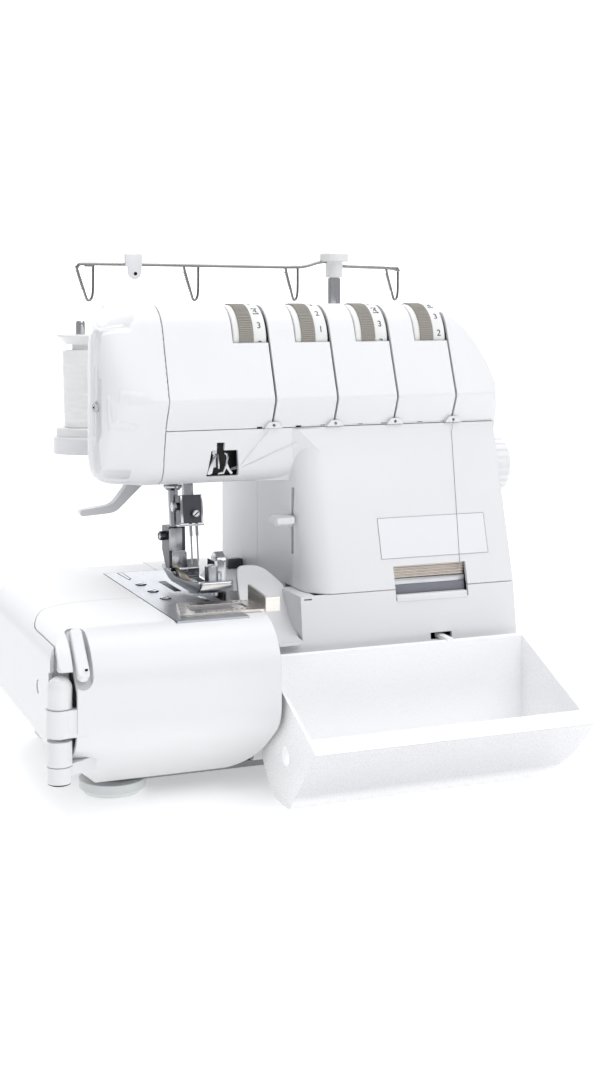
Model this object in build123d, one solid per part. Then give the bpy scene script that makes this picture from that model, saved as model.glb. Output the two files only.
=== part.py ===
from build123d import *
import os
from math import cos, radians, sin, sqrt, tan

# A household overlock machine, in millimetres. The shapes are drawn in a bench frame:
# x to the right from the left face, y to the back from the front door, z up from the table.
# The finished pieces are moved together so that the origin is under the middle of the whole.

# Walls and fits
wall = 2.5
seam = 0.4
running = 0.05
clearance = 0.5
sheet = 1.5
ease = 0.05

# Overall body
body_width = 314.0
body_back = 225.0
floor_z = 12.0
bed_z = 108.5
body_corner = 30.0

# Left bed box and its swing door
box_corner = 70.0
box_front_corner = 12.0
box_crest = 15.0
box_undercut_z = 47.0
box_undercut_in = 36.0
door_right = 132.6
door_back = 102.0
door_left = 3.2
door_sweep = 42.0
door_crest = 30.0
door_bulge_z = 78.0
door_foot_y = 52.0
bed_seam_x = 114.0
door_share_z = 90.0
low_corner = 20.0

# Hinge of the swing door
hinge_x = 4.6
hinge_y = 7.8
knuckle_r = 7.0
knuckle_step = 0.8
hinge_sweep_r = 5.5
hinge_pin_r = 3.0
knuckle_z = [29.0, 38.4, 52.1, 54.3, 69.7, 87.3]

# Head and arm
head_left = 32.0
head_taper = 49.0
head_top = 290.0
head_edge_y = 95.5
head_edge_r = 23.0
head_back = 214.0
head_over = 2.0
arm_z = 178.0
crease_y = 75.0
crease_z = 231.0
face_seam_x = 88.3
cover_seam_z = 212.7
cover_seam_y = 83.0
split_y = 152.0
head_top_corner = 47.0
head_low_corner = 30.0
head_end_w = 50.0
head_end_h = 75.0

# Column
column_x = 173.0
column_edge_r = 18.0
blend_taper = 14.0
looper_seam_z = 111.0
looper_seam_y = 54.0
looper_split_y = 100.0

# Drive
upper_y = 150.0
upper_z = 236.0
main_y = 137.0
main_z = 178.0
lower_y = 128.0
lower_z = 60.0
motor_y = 190.0
motor_z = 52.0
shaft_r = 5.0
bush_wall = 3.0
timing_r = 14.0
belt_t = 1.8
belt_w = 8.0
big_pulley_r = 30.0
motor_pulley_r = 8.0
motor_r = 26.0
motor_gap = 14.0
crank_r = 12.5
plate_t = 8.0
post_left_x = 184.0
post_right_in = 46.0
head_plate_x = 122.0
frame_front = 112.0
frame_back = 206.0
frame_arm_t = 6.0
dial_arm_gap = 7.8
upper_belt_x = 198.0
lower_belt_x = 212.0

# Handwheel
wheel_r = 20.0
wheel_w = 33.0
wheel_ribs = 24
wheel_groove_r = 1.7
wheel_edge_r = 4.0
wheel_dish_in = 6.0
wheel_hub_r = 8.0

# Needle and presser bars
lean = 8.0
needle_x = 112.3
needle_y = 116.0
needle_bar_r = 3.65
presser_x = 108.5
presser_y = 136.0
presser_bar_r = 3.3
bar_ref_z = 176.5
foot_lift = 4.0
needle_low_z = 150.0
needle_dx = [0.6, 4.6]
needle_r = 0.6
shank_r = 1.0
needle_len = 26.0
link_x = 113.2
link_t = 3.0
presser_low_z = 141.0
presser_top_z = 272.0
foot_y_pin = 128.0
foot_x0 = 105.0
foot_x1 = 122.0
toe_x1 = 128.0
toe_y = 64.0

# Tension dials
dial_count = 4
dial_x0 = 134.0
dial_end_in = 33.8
dial_proud = 1.0
dial_flange = 4.0
dial_grip = 9.4
dial_ring = 8.8
dial_window_gap = 0.8
dial_window_back = 9.5
disc_r = 11.0
disc_t = 1.2
disc_gap = 0.8
spindle_r = 3.0
slot_w = 1.4
slot_gap = 0.4
slot_lean = 0.6
guide_w = 12.0
guide_h = 3.9
guide_proud = 3.4
guide_eye_r = 1.0

# Needle plate
plate_x0 = 77.0
plate_x1 = 121.0
plate_back = 190.0
plate_thick = 2.0
plate_corner = 6.0
inlay_t = 1.2
inlay_proud = 0.1
inlay_y0 = 23.0

# Waste tray
tray_x0 = 135.9
tray_wall = 2.2
tray_lip_y = -44.0
tray_lip_z = 43.0
tray_back_y = 41.0
tray_back_z = 80.0
tray_end_corner = 28.0
tab_x = 260.5
tab_z = 80.6
tab_w = 4.4
tab_t = 2.4

# Thread stand
stand_y = 256.0
stand_half = 19.0
stand_z = 184.0
stand_t = 12.0
stand_left = 58.0
pin_x0 = 77.0
pin_pitch = 81.0
pin_count = 4
pin_r = 3.2
pin_over = 10.0
spool_r = 13.0
spool_h = 55.0
holder_r = 17.0
holder_h = 6.0
cap_r = 17.0
cap_foot_r = 10.8
cap_rim = 1.6
cap_h = 7.0
cap_gap = 4.0
pole_x = 273.0
pole_r = 5.0
rod_r = 3.6
hook_gap = 16.0
wire_r = 1.1
pole_foot_z = 150.0
hook_x = [81.5, 160.6, 238.3, 322.0]
hook_w = 5.2
hook_drop = 23.0

# Release button in the door's rounded edge
button_x = 16.5
button_r = 3.6
button_len = 33.0
stem_r = 2.0
pocket_r = 5.6
pocket_len = 40.0
pocket_depth = 9.0

# Chute at the left end of the looper cover
chute_x = 168.0
chute_y = 88.0
chute_z = 84.0
chute_top_z = 126.0

# Knives
knife_x = 124.5
knife_t = 2.2
knife_y0 = 98.0
knife_y1 = 112.0
knife_pivot_y = 150.0
knife_pivot_z = 98.0
knife_pivot_r = 4.0
knife_slot_x = 133.2
curtain_h = 16.0
knife_slot_y = 160.0

# Loopers
lower_looper_x = 150.0
lower_looper_y = 108.0
lower_looper_z = 44.0
upper_looper_x = 166.0
upper_looper_y = 90.2
upper_looper_z = 52.0
looper_pin_r = 5.0
looper_t = 4.0
looper_block_y0 = 128.0
looper_block_y1 = 160.0

# Feed dog
feed_x = [105.0, 114.0]
feed_w = 3.6
feed_y0 = 114.0
feed_y1 = 146.0
feed_depth = 16.0

# Presser lifter
lifter_x = 97.0
lifter_y = 168.0
lifter_z = 184.0
lifter_r = 3.0
lifter_w = 8.0

# Take-up window and its lever
take_up_x = 127.3
window_z0 = 183.0
window_z1 = 199.5
window_low_half = 10.6
window_top_half = 8.6
pocket_half = 13.5
pocket_back_y = 99.0
take_up_pivot_r = 1.2

# Lever in the column's left wall
lever_y = 87.0
lever_z = 153.0
lever_t = 3.0
lever_h = 7.0
lever_travel = 17.0

# Finger recess and looper thread guide
guide_x0 = 230.0
guide_x1 = 281.0
guide_low_z = 104.0
guide_top_z = 125.0

# Right end: stitch dial, switch and mains inlet
stitch_y = 126.0
stitch_z = 72.0
stitch_r = 18.0
switch_y = 176.0
switch_z = 84.0
switch_w = 20.0
switch_h = 13.0
switch_axis_in = 6.0
switch_stub_r = 1.6
inlet_z = 50.0
inlet_w = 28.0
inlet_h = 20.0

# Screws
screw_h = 1.6
plate_screws = [(90.2, 117.6), (89.3, 142.5)]
face_screw_at = (45.9, 91.8, 228.0)
face_screw_turn = 20.0

# Feet
foot_r = 20.0
foot_x = [52.0, 286.0]
foot_y = [74.0, 200.0]

# Worked out from the sizes above
lean_tan = tan(radians(lean))
body_right = body_width + head_over
front_slope = (head_edge_y - crease_y) / (head_top - crease_z)
dial_z = head_top - head_edge_r
dial_y = crease_y + (dial_z - crease_z) * front_slope + head_edge_r * sqrt(1 + front_slope ** 2)
dial_r = head_edge_r + dial_proud
dial_w = dial_flange + dial_grip + dial_ring
dial_right = body_right - dial_end_in
dial_pitch = (dial_right - dial_w - dial_x0) / (dial_count - 1)
arm_right_x = dial_right + dial_arm_gap
post_right_x = body_width - post_right_in
inner_floor = floor_z + wall
pan_t = 4.0
foot_h = floor_z - pan_t
hinge_room = knuckle_r + knuckle_step + clearance
far = 400.0
needle_top_z = head_top - 3.2
clamp_z = needle_low_z + 10
foot_sole_z = bed_z + clearance + foot_lift
foot_holder_z0 = foot_sole_z + 8
motor_belt_x = post_right_x + plate_t + 8
wheel_x = body_right + 1.2
cap_z0 = stand_z + stand_t + holder_h + spool_h + cap_gap
pin_top_z = cap_z0 + cap_h + pin_over
bar_z = pin_top_z + hook_drop + hook_gap
pole_top_z = bar_z - 8.4


def outline(points, radii):
    return make_face(FilletPolyline(*points, radius=radii, close=True))


def along_x(face, x0, x1):
    return extrude(Plane.YZ.offset(x0) * face, amount=x1 - x0)


def along_y(face, y0, y1):
    return extrude(Plane.XZ.offset(-y0) * face, amount=y0 - y1)


def along_z(face, z0, z1):
    return extrude(Plane.XY.offset(z0) * face, amount=z1 - z0)


def block(x0, x1, y0, y1, z0, z1):
    return Pos((x0 + x1) / 2, (y0 + y1) / 2, (z0 + z1) / 2) * Box(x1 - x0, y1 - y0, z1 - z0)


def rod_x(x0, x1, y, z, r):
    return Pos((x0 + x1) / 2, y, z) * Rot(0, 90, 0) * Cylinder(r, x1 - x0)


def rod_y(y0, y1, x, z, r):
    return Pos(x, (y0 + y1) / 2, z) * Rot(90, 0, 0) * Cylinder(r, y1 - y0)


def rod_z(z0, z1, x, y, r):
    return Pos(x, y, (z0 + z1) / 2) * Cylinder(r, z1 - z0)


def bar_y(y_ref, z):
    return y_ref + (z - bar_ref_z) * lean_tan


def lean_rod(x, y_ref, z0, z1, r):
    # A round bar on the leaning line of the needle and presser bars
    middle = (z0 + z1) / 2
    length = (z1 - z0) / cos(radians(lean))
    return Pos(x, bar_y(y_ref, middle), middle) * Rot(-lean, 0, 0) * Cylinder(r, length)


def inset(points, radii, t):
    # Closed outline drawn in by t: every side moves in, round corners keep their centres
    count = len(points)
    area = sum(points[i - 1][0] * points[i][1] - points[i][0] * points[i - 1][1] for i in range(count))
    turn = 1 if area > 0 else -1
    new_points = []
    new_radii = []
    for i in range(count):
        (ax, ay), (bx, by), (cx, cy) = points[i - 1], points[i], points[(i + 1) % count]
        la = sqrt((bx - ax) ** 2 + (by - ay) ** 2)
        lc = sqrt((cx - bx) ** 2 + (cy - by) ** 2)
        ux, uy = (bx - ax) / la, (by - ay) / la
        vx, vy = (cx - bx) / lc, (cy - by) / lc
        cross = ux * vy - uy * vx
        reach = t * turn / cross
        new_points.append((round(bx + reach * (vx - ux), 6), round(by + reach * (vy - uy), 6)))
        outward = 1 if cross * turn > 0 else -1
        new_radii.append(max(radii[i] - outward * t, 0) if radii[i] else 0)
    return outline(new_points, new_radii)


# Outer forms, each drawn with an inset so that a shell is one form less a smaller one


def door_side(t):
    # Side view of the left box: crowned top edge, bulging front, hull that runs back below
    points = [
        (0, bed_z),
        (0, door_bulge_z - 28),
        (door_foot_y, floor_z),
        (body_back, floor_z),
        (body_back, bed_z),
    ]
    return inset(points, [door_crest, 22, 3, 6, 6], t)


def box_front(t):
    points = [
        (0, bed_z),
        (0, box_undercut_z),
        (box_undercut_in, floor_z),
        (far, floor_z),
        (far, bed_z),
    ]
    return inset(points, [box_crest, 4, 3, 0, 0], t)


def box_plan(t):
    points = [(0, 0), (far, 0), (far, body_back), (0, body_back)]
    return inset(points, [box_front_corner, 0, 0, box_corner], t)


def box_form(t, right):
    form = along_x(door_side(t), -1, right)
    form = form & along_y(box_front(t), -1, body_back + 1)
    return form & along_z(box_plan(t), 0, bed_z + 1)


def head_side(t):
    points = [
        (90.5, arm_z),
        (cover_seam_y, cover_seam_z + 1),
        (crease_y, crease_z),
        (head_edge_y, head_top),
        (head_back, head_top),
        (head_back, arm_z),
    ]
    return inset(points, [14, 2, 4, head_edge_r, 24, 10], t)


def head_front(t):
    x0 = head_left + t
    x1 = body_right - t
    z0 = arm_z + t
    z1 = head_top + ease - t
    top = head_top_corner - t
    low = head_low_corner - t
    xc = body_right - head_end_w
    zc = head_top - head_end_h
    diagonal = 1 - sqrt(0.5)
    edges = [
        Line((x0 + low, z0), (x1, z0)),
        Line((x1, z0), (x1, zc)),
        EllipticalCenterArc((xc, zc), x1 - xc, z1 - zc, start_angle=0, arc_size=90),
        Line((xc, z1), (x0 + top, z1)),
        ThreePointArc((x0 + top, z1), (x0 + top * diagonal, z1 - top * diagonal), (x0, z1 - top)),
        Line((x0, z1 - top), (x0, z0 + low)),
        ThreePointArc((x0, z0 + low), (x0 + low * diagonal, z0 + low * diagonal), (x0 + low, z0)),
    ]
    return make_face(Curve() + edges)


def head_plan(t):
    y0 = crease_y - 3
    back = head_back + ease
    points = [(head_left, y0), (body_right, y0), (body_right, back), (head_left + head_taper, back)]
    return inset(points, [30, 12, 34, 45], t)


def head_form(t):
    form = along_x(head_side(t), head_left - 1, body_right + 1)
    form = form & along_y(head_front(t), 0, head_back + 1)
    return form & along_z(head_plan(t), arm_z - 1, head_top + 1)


def column_side(t):
    lower_y0 = looper_seam_y - 8
    points = [
        (looper_seam_y + 4, floor_z),
        (lower_y0 - 1, 45),
        (looper_seam_y, looper_seam_z),
        (cover_seam_y - 1, cover_seam_z),
        (cover_seam_y + 25, cover_seam_z + 28),
        (head_back - 14, cover_seam_z + 28),
        (body_back, cover_seam_z - 10),
        (body_back, floor_z),
    ]
    return inset(points, [4, 14, 12, 3, 0, 0, 18, 6], t)


def column_plan(t, left):
    back = body_back + ease
    points = [(left, looper_seam_y - 20), (body_width, looper_seam_y - 20), (body_width, back), (left, back)]
    return inset(points, [0, 0, body_corner, 0], t)


def column_form(t):
    form = along_x(column_side(t), column_x, body_width)
    plan = column_plan(t, column_x)
    return (form & along_z(plan, floor_z - 1, head_top)) - column_corner(t)


def column_corner(t):
    # What a round front left edge takes off the leaning column above the looper seam
    r = column_edge_r
    lean_y = cover_seam_y - 1 - looper_seam_y
    lean_z = cover_seam_z - looper_seam_z
    foot = Plane((column_x, looper_seam_y, looper_seam_z), x_dir=(1, 0, 0), z_dir=(0, lean_y, lean_z))
    waste = Pos(r / 2 - 1, r / 2 - 1) * Rectangle(r + 2, r + 2) - Pos(r, r) * Circle(r - t)
    cutter = extrude(foot.offset(-r) * waste, amount=2 * r + lean_z)
    return cutter & block(0, far, 0, far, looper_seam_z, far)


def base_form(t):
    # Low body right of the left box, under the column and the free bed
    side = column_side(t) & Pos(far / 2, bed_z / 2 - t) * Rectangle(2 * far, bed_z)
    reach = bed_seam_x - 20 * (t > 0)
    form = along_x(side, reach, body_width)
    return form & along_z(column_plan(t, reach - t), floor_z - 1, bed_z + 1)


def throat_blend():
    # Solid that carries the arm's front smoothly round into the leaning column front
    reach = 48.0
    front_y = cover_seam_y - 26
    points = [
        (column_x - 40, 94),
        (column_x - 8, 87),
        (column_x + reach / 2, front_y + 12),
        (column_x + reach, front_y),
        (column_x + reach, 130),
        (column_x - 40, 130),
    ]
    plan = outline(points, [0, 24, 24, 0, 0, 0])
    slab = along_x(column_side(0), column_x - 41, column_x + reach + 1)
    top = cover_seam_z - 1
    return slab & extrude(Plane.XY.offset(top) * plan, amount=arm_z - top, taper=blend_taper)


def body_shell():
    outer = head_form(0) + column_form(0) + base_form(0) + throat_blend()
    inner = head_form(wall) + column_form(wall) + base_form(wall)
    return outer - inner


def head_opening():
    # The underside of the head is open round the bars
    return block(face_seam_x - 9, head_plate_x + 10, needle_y - 15.5, presser_y + 34, arm_z - 8, arm_z + 9)


def keep(shell, x0, x1, y0, y1, z0, z1):
    return shell & block(x0, x1, y0, y1, z0, z1)


def thread_slots():
    # A thread drops down a narrow leaning slot beside each dial
    slots = []
    for index in range(dial_count):
        top_x = dial_x0 + index * dial_pitch + dial_w + slot_gap
        low_x = top_x + slot_lean
        points = [(top_x, head_top + 1), (top_x + slot_w, head_top + 1),
                  (low_x + slot_w, cover_seam_z - 2), (low_x, cover_seam_z - 2)]
        slots.append(along_y(outline(points, [0, 0, 0, 0]), 60, dial_y + 6))
    return slots


def dial_windows():
    windows = []
    for index in range(dial_count):
        x0 = dial_x0 + index * dial_pitch
        x1 = x0 + dial_w
        windows.append(block(x0 - dial_window_gap, x1 + slot_gap + slot_w, 60, dial_y + dial_window_back,
                             dial_z + 2.7, head_top + 5))
        windows.append(rod_x(x0 - dial_window_gap, x1 + dial_window_gap, dial_y, dial_z, dial_r + clearance))
    return windows


def tension_cover(shell):
    piece = keep(shell, face_seam_x + seam / 2, body_right + 1, 0, split_y - seam / 2,
                 cover_seam_z + seam / 2, head_top + 1)
    return piece - dial_windows() - thread_slots() - guide_lugs()


def face_cover(shell):
    piece = keep(shell, 0, face_seam_x - seam / 2, 0, head_back + 1, arm_z - 1, head_top + 1)
    screw = face_screw(3.2, 5)
    return piece - head_opening() - lifter_slot() - screw


def face_screw(r, z1):
    turn = radians(face_screw_turn)
    plane = Plane(face_screw_at, x_dir=(0, 0, 1), z_dir=(-cos(turn), -sin(turn), 0))
    return extrude(plane.offset(-screw_h) * Circle(r), amount=screw_h + z1)


def take_up_window():
    points = [(take_up_x - window_low_half, window_z0), (take_up_x + window_low_half, window_z0),
              (take_up_x + window_top_half, window_z1), (take_up_x - window_top_half, window_z1)]
    hole = along_y(outline(points, [0.8, 0.8, 0.8, 0.8]), 60, pocket_back_y)
    return hole + block(take_up_x - 5.4, take_up_x - 0.2, 60, pocket_back_y, window_z1 - 2, window_z1 + 5)


def lever_slot():
    half = lever_travel + lever_h / 2 + clearance
    return block(column_x - 5, column_x + 8, lever_y - lever_t / 2 - clearance,
                 lever_y + lever_t / 2 + clearance, lever_z - half, lever_z + half)


def shaft_hole():
    return rod_x(body_width - 12, body_right + 2, main_y, main_z, shaft_r + 2.5)


def front_cover(shell):
    piece = keep(shell, face_seam_x + seam / 2, body_right + 1, 0, split_y - seam / 2,
                 looper_seam_z + seam / 2, cover_seam_z - seam / 2)
    notch = block(guide_x0, guide_x1, 30, 75, looper_seam_z - 2, guide_top_z)
    return piece - head_opening() - take_up_window() - lever_slot() - notch - shaft_hole()


def rear_cover(shell):
    upper = keep(shell, face_seam_x + seam / 2, body_right + 1, split_y + seam / 2,
                 body_back + 1, looper_seam_z - seam, head_top + 1)
    lower = keep(shell, column_x + seam / 2, body_right + 1, looper_split_y + seam / 2,
                 body_back + 1, floor_z - 1, looper_seam_z - seam / 2)
    piece = upper + lower
    piece = piece - rod_x(body_width - 12, body_width + 1, stitch_y, stitch_z, 4.5)
    piece = piece - block(body_width - 12, body_width + 1, switch_y - switch_w / 2, switch_y + switch_w / 2,
                          switch_z - switch_h / 2, switch_z + switch_h / 2)
    piece = piece - block(body_width - 12, body_width + 1, switch_y - inlet_w / 2, switch_y + inlet_w / 2,
                          inlet_z - inlet_h / 2, inlet_z + inlet_h / 2)
    return piece - head_opening() - lifter_slot()


def chute_sheet():
    # Concave scoop right of the knives: trimmings slide down it to the front
    points = [(136.2, chute_z - 1), (chute_x, chute_z - 1), (chute_x, 112), (152, chute_top_z),
              (136.2, chute_top_z)]
    window = along_y(outline(points, [0, 12, 14, 18, 4]), looper_seam_y - 14, chute_y + 14)
    radius = 40.0
    hollow = rod_x(100, 200, chute_y - radius, chute_top_z, radius)
    skin = rod_x(100, 200, chute_y - radius, chute_top_z, radius + wall) - hollow
    skin = skin & block(100, 200, looper_seam_y - 10, far, 0, chute_top_z)
    return (skin & window) + chute_end()


def chute_end():
    # Wall and top ledge that close the looper cover beside the chute
    y0 = looper_seam_y - 10
    y1 = chute_y + wall - 1
    z1 = looper_seam_z - seam / 2
    side = block(chute_x - wall, chute_x, y0, y1, chute_z - 1, z1)
    ledge = block(chute_x - wall, column_x + wall, y0, y1, z1 - sheet, z1)
    return (side + ledge) & along_x(column_side(0), chute_x - wall - 1, column_x + wall + 1)


def looper_cover(shell):
    piece = keep(shell, tray_x0, body_right + 1, 0, looper_split_y - seam / 2,
                 floor_z - 1, looper_seam_z - seam / 2)
    piece = piece - block(0, chute_x, 0, looper_split_y, chute_z, far)
    piece = piece - block(0, column_x + wall + 1, looper_seam_y + 14, looper_split_y, bed_z - 8, far)
    notch = block(guide_x0, guide_x1, 30, looper_seam_y + 8, guide_low_z, far)
    slot = block(tab_x - 8, tab_x + 7, 30, looper_seam_y + 8, tab_z - 2.2, tab_z + 2.2)
    return piece - notch - slot


def bed_cover(shell):
    piece = keep(shell, bed_seam_x + seam / 2, column_x - seam / 2, looper_split_y + seam / 2,
                 body_back + 1, floor_z - 1, bed_z + 1)
    piece = piece - block(0, plate_x1 + seam, 0, plate_back + seam, bed_z - 20, far)
    piece = piece - block(0, knife_slot_x, 0, knife_slot_y, bed_z - 20, far)
    y0 = looper_split_y + seam / 2
    curtain = block(knife_slot_x, column_x - seam / 2, y0, y0 + wall, bed_z - curtain_h, bed_z - 1)
    return piece + curtain


def knuckle(z0, z1, r):
    return rod_z(z0, z1, hinge_x, hinge_y, r)


def side_cover():
    shell = box_form(0, bed_seam_x - seam / 2) - box_form(wall, far)
    shell = shell - door_region(seam)
    shell = shell - block(plate_x0 - seam, far, door_back - 5, plate_back + seam, bed_z - 20, far)
    z = knuckle_z
    shell = shell - rod_z(z[0] - 3, z[5] + 1, hinge_x, hinge_y, hinge_room)
    shell = shell - rod_z(z[5], far, hinge_x, hinge_y, hinge_sweep_r)
    shell = shell - block(hinge_x, hinge_x + hinge_room, -5, 20, 0, door_share_z)
    dome = Pos(hinge_x, hinge_y, z[5] - knuckle_r) * Sphere(knuckle_r)
    fixed = knuckle(z[4] + seam / 2, z[5] - knuckle_r, knuckle_r) + dome + knuckle(z[1], z[2], knuckle_r)
    leaf_top = block(0.6, hinge_x, hinge_y, 22, z[4] + seam / 2, z[5] - 4)
    leaf_low = block(0.6, hinge_x, hinge_y, 22, z[1] + 8, z[2])
    pin_hole = knuckle(z[0] - 5, z[5] - 5, hinge_pin_r)
    screw = rod_x(-1, 2, 42, 74, 4)
    return shell + fixed + leaf_top + leaf_low - pin_hole - screw


def door_region(grow):
    # The door's share of the left box: above, a straight back seam that sweeps round to the hinge;
    # below, only the front wall
    g = grow
    points = [(door_left - g, -20), (far, -20), (far, 38 + g), (plate_x1 + g, 38 + g),
              (plate_x1 + g, door_back + g), (door_left - g, door_back + g)]
    plan = outline(points, [0, 0, 0, 0, plate_corner + g, door_sweep + g])
    top = along_z(plan, door_share_z - g, bed_z + 5)
    low = block(hinge_x + hinge_room - g, far, -20, door_foot_y + 1 + g, -5, door_share_z + 1)
    return top + low


def button_plane():
    return Plane((button_x, door_crest * (1 - sqrt(0.5)), bed_z - door_crest * (1 - sqrt(0.5))),
                 x_dir=(0, sqrt(0.5), sqrt(0.5)), z_dir=(0, -sqrt(0.5), sqrt(0.5)))


def button_stem(grow, z0):
    return extrude(button_plane().offset(z0) * Circle(stem_r + grow), amount=-z0 - pocket_depth + 5)


def pill(length, radius, z0, z1):
    return extrude(button_plane().offset(z0) * SlotOverall(length, 2 * radius), amount=z1 - z0)


def cloth_plate_door():
    z = knuckle_z
    whole = box_form(0, door_right)
    cup = pill(pocket_len + 2 * wall, pocket_r + wall, -pocket_depth - wall, 2) & whole & door_region(0)
    door = ((whole - box_form(wall, far)) & door_region(0)) + cup
    door = door - pill(pocket_len, pocket_r, -pocket_depth, 12)
    door = door - button_stem(running, -pocket_depth - wall - 1)
    door = door - rod_z(z[0] - 40, z[5] + 1, hinge_x, hinge_y, hinge_room)
    moving = knuckle(z[3], z[4] - seam / 2, knuckle_r + knuckle_step) + knuckle(z[0], z[1] - seam, knuckle_r)
    arm_top = block(hinge_x, hinge_x + hinge_room + 6, 0.8, 6.5, z[3], z[4] - seam / 2)
    foot = outline([(hinge_x, hinge_y - 4), (28, 19), (28, 26), (hinge_x, hinge_y + 4)], [0, 0, 0, 0])
    arm_low = along_z(foot, z[0] + 2, z[1] - seam)
    pin_hole = knuckle(z[0] - 5, z[5] - 5, hinge_pin_r + running)
    recess = along_z(inlay_outline(0.2), bed_z - inlay_t, far)
    corner = block(door_right - low_corner, far, -5, far, -5, floor_z + low_corner)
    corner = corner - rod_y(-10, far, door_right - low_corner, floor_z + low_corner, low_corner)
    return door + moving + arm_top + arm_low - pin_hole - recess - corner


def inlay_outline(grow):
    x0 = plate_x0 - grow
    y0 = inlay_y0 - grow
    points = [(x0, y0), (plate_x1 + grow, y0), (plate_x1 + grow, door_back), (x0, door_back)]
    return outline(points, [0, 0, plate_corner, 0])


def hinge_pin():
    z = knuckle_z
    return knuckle(z[0], z[5] - 5, hinge_pin_r)


def release_button():
    cap = pill(button_len, button_r, -pocket_depth + 4, -1)
    top = cap.faces().sort_by(lambda face: face.center().dot(button_plane().z_dir))[-1]
    return fillet(top.edges(), 1.2) + button_stem(0, -pocket_depth - wall)


def inlay_plate():
    return along_z(inlay_outline(0), bed_z - inlay_t, bed_z + inlay_proud)


def seam_guide():
    # Graduated fork on the front plate with a bent-up edge for the cloth to run along
    z0 = bed_z + inlay_proud + 0.1
    z1 = z0 + sheet
    fork = outline([(82, 33), (134, 32), (134, 62), (90, 68)], [3, 0, 0, 4])
    gap = outline([(91, 41), (127, 41), (127, 55), (93, 58)], [2, 2, 2, 2])
    base = along_z(fork, z0, z1) - along_z(gap, z0 - 1, z1 + 1)
    edge = outline([(32, z0), (62, z0), (62, z0 + 11), (32, z0 + 8.5)], [0, 0, 1, 1])
    upright = along_x(edge, 134, 134 + sheet)
    flange = block(134, 143, 30.5, 32, z0, z0 + 8.5)
    return base + upright + flange


def base_pan():
    points = [(44, 62), (body_width - 8, 62), (body_width - 8, body_back - 8), (44, body_back - 8)]
    return along_z(outline(points, [12, 12, 24, 40]), foot_h, floor_z)


def rubber_feet():
    feet = []
    for x in foot_x:
        for y in foot_y:
            foot = rod_z(0, foot_h, x, y, foot_r)
            low = foot.edges().group_by(Axis.Z)[0]
            feet.append(chamfer(low, 3))
    return feet


def waste_tray_side(t):
    points = [
        (tray_back_y, tray_back_z),
        (tray_lip_y, tray_lip_z),
        (-3, 0.6),
        (22, 0.6),
        (tray_back_y, 18),
    ]
    return inset(points, [0, 0, 10, 16, 8], t)


def waste_tray():
    right = body_width
    front = [(tray_x0, far), (tray_x0, -1), (right, -1), (right, far)]
    corners = [0, 3, tray_end_corner, 0]
    outer = along_x(waste_tray_side(0), tray_x0, right) & along_y(inset(front, corners, 0), -100, 100)
    lift = 30.0
    inner_side = waste_tray_side(tray_wall) + Pos(0, lift) * waste_tray_side(tray_wall)
    inner_side = inner_side + Pos(0, lift / 2) * waste_tray_side(tray_wall)
    inner_front = inset(front, corners, tray_wall)
    inner = along_x(inner_side, tray_x0 + tray_wall, right - tray_wall) & along_y(inner_front, -100, 100)
    tray = outer - inner
    hole = rod_x(tray_x0 - 1, tray_x0 + tray_wall + 1, 3, 30, 6)
    tab = block(tab_x - tab_w / 2, tab_x + tab_w / 2, tray_back_y - tray_wall, looper_seam_y + 2,
                tab_z - tab_t / 2 - 0.6, tab_z + tab_t / 2 - 0.6)
    return tray - hole + tab


def needle_plate():
    plate = block(plate_x0, plate_x1, door_back + seam / 2, plate_back, bed_z - plate_thick, bed_z)
    y = bar_y(needle_y, bed_z)
    needle_slot = block(needle_x - 2, needle_x + 6.5, y - 4, y + 2.5, 0, far)
    plate = plate - needle_slot
    half = feed_w / 2 + 0.7
    for x in feed_x:
        plate = plate - block(x - half, x + half, feed_y0 - 2.6, feed_y1 + 2.6, 0, far)
    return plate


def feed_dog():
    bar = block(feed_x[0] - 5, feed_x[1] + 5, feed_y0, feed_y1, bed_z - feed_depth, bed_z - 9)
    for x in feed_x:
        rack = block(x - feed_w / 2, x + feed_w / 2, feed_y0, feed_y1, bed_z - 10, bed_z - 0.4)
        pitch = 2.0
        count = int((feed_y1 - feed_y0) / pitch)
        for tooth in range(count):
            y0 = feed_y0 + tooth * pitch
            points = [(y0, bed_z - 0.6), (y0 + pitch, bed_z - 0.6), (y0 + pitch * 0.8, bed_z + 0.1)]
            profile = outline(points, [0, 0, 0])
            rack = rack + along_x(profile, x - feed_w / 2, x + feed_w / 2)
        bar = bar + rack
    return bar


def lower_knife():
    x1 = knife_x - 0.3
    return block(x1 - knife_t, x1, knife_y0, lower_looper_y - 2, bed_z - 20, bed_z - 0.3)


def upper_knife():
    blade = block(knife_x, knife_x + knife_t, knife_y0, knife_y1, bed_z - 2, bed_z + 20)
    x0 = knife_x + knife_t
    x1 = x0 + 5.5
    clamp = outline([(97, 114), (110, 112), (112, 130), (106, 134), (98, 130)], [2, 2, 4, 4, 4])
    holder = along_x(clamp, x0, x1)
    reach = outline([(104, 112), (112, 112), (knife_pivot_y, knife_pivot_z - 5),
                     (knife_pivot_y, knife_pivot_z + 6), (112, 126), (104, 126)], [0, 0, 0, 0, 0, 0])
    arm = along_x(reach, x0, x1)
    boss = rod_x(x0, x1, knife_pivot_y, knife_pivot_z, knife_pivot_r + 4)
    bore = rod_x(x0 - 1, x1 + 1, knife_pivot_y, knife_pivot_z, knife_pivot_r + running)
    return blade + holder + arm + boss - bore


def looper(points, radii, pivot_x, pivot_z, y0):
    arm = along_y(outline(points, radii), y0, y0 + looper_t)
    hub = rod_y(y0, y0 + looper_t + 6, pivot_x, pivot_z, looper_pin_r + 4)
    pin = rod_y(y0, looper_block_y1 - 8, pivot_x, pivot_z, looper_pin_r)
    return arm + hub + pin


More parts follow.
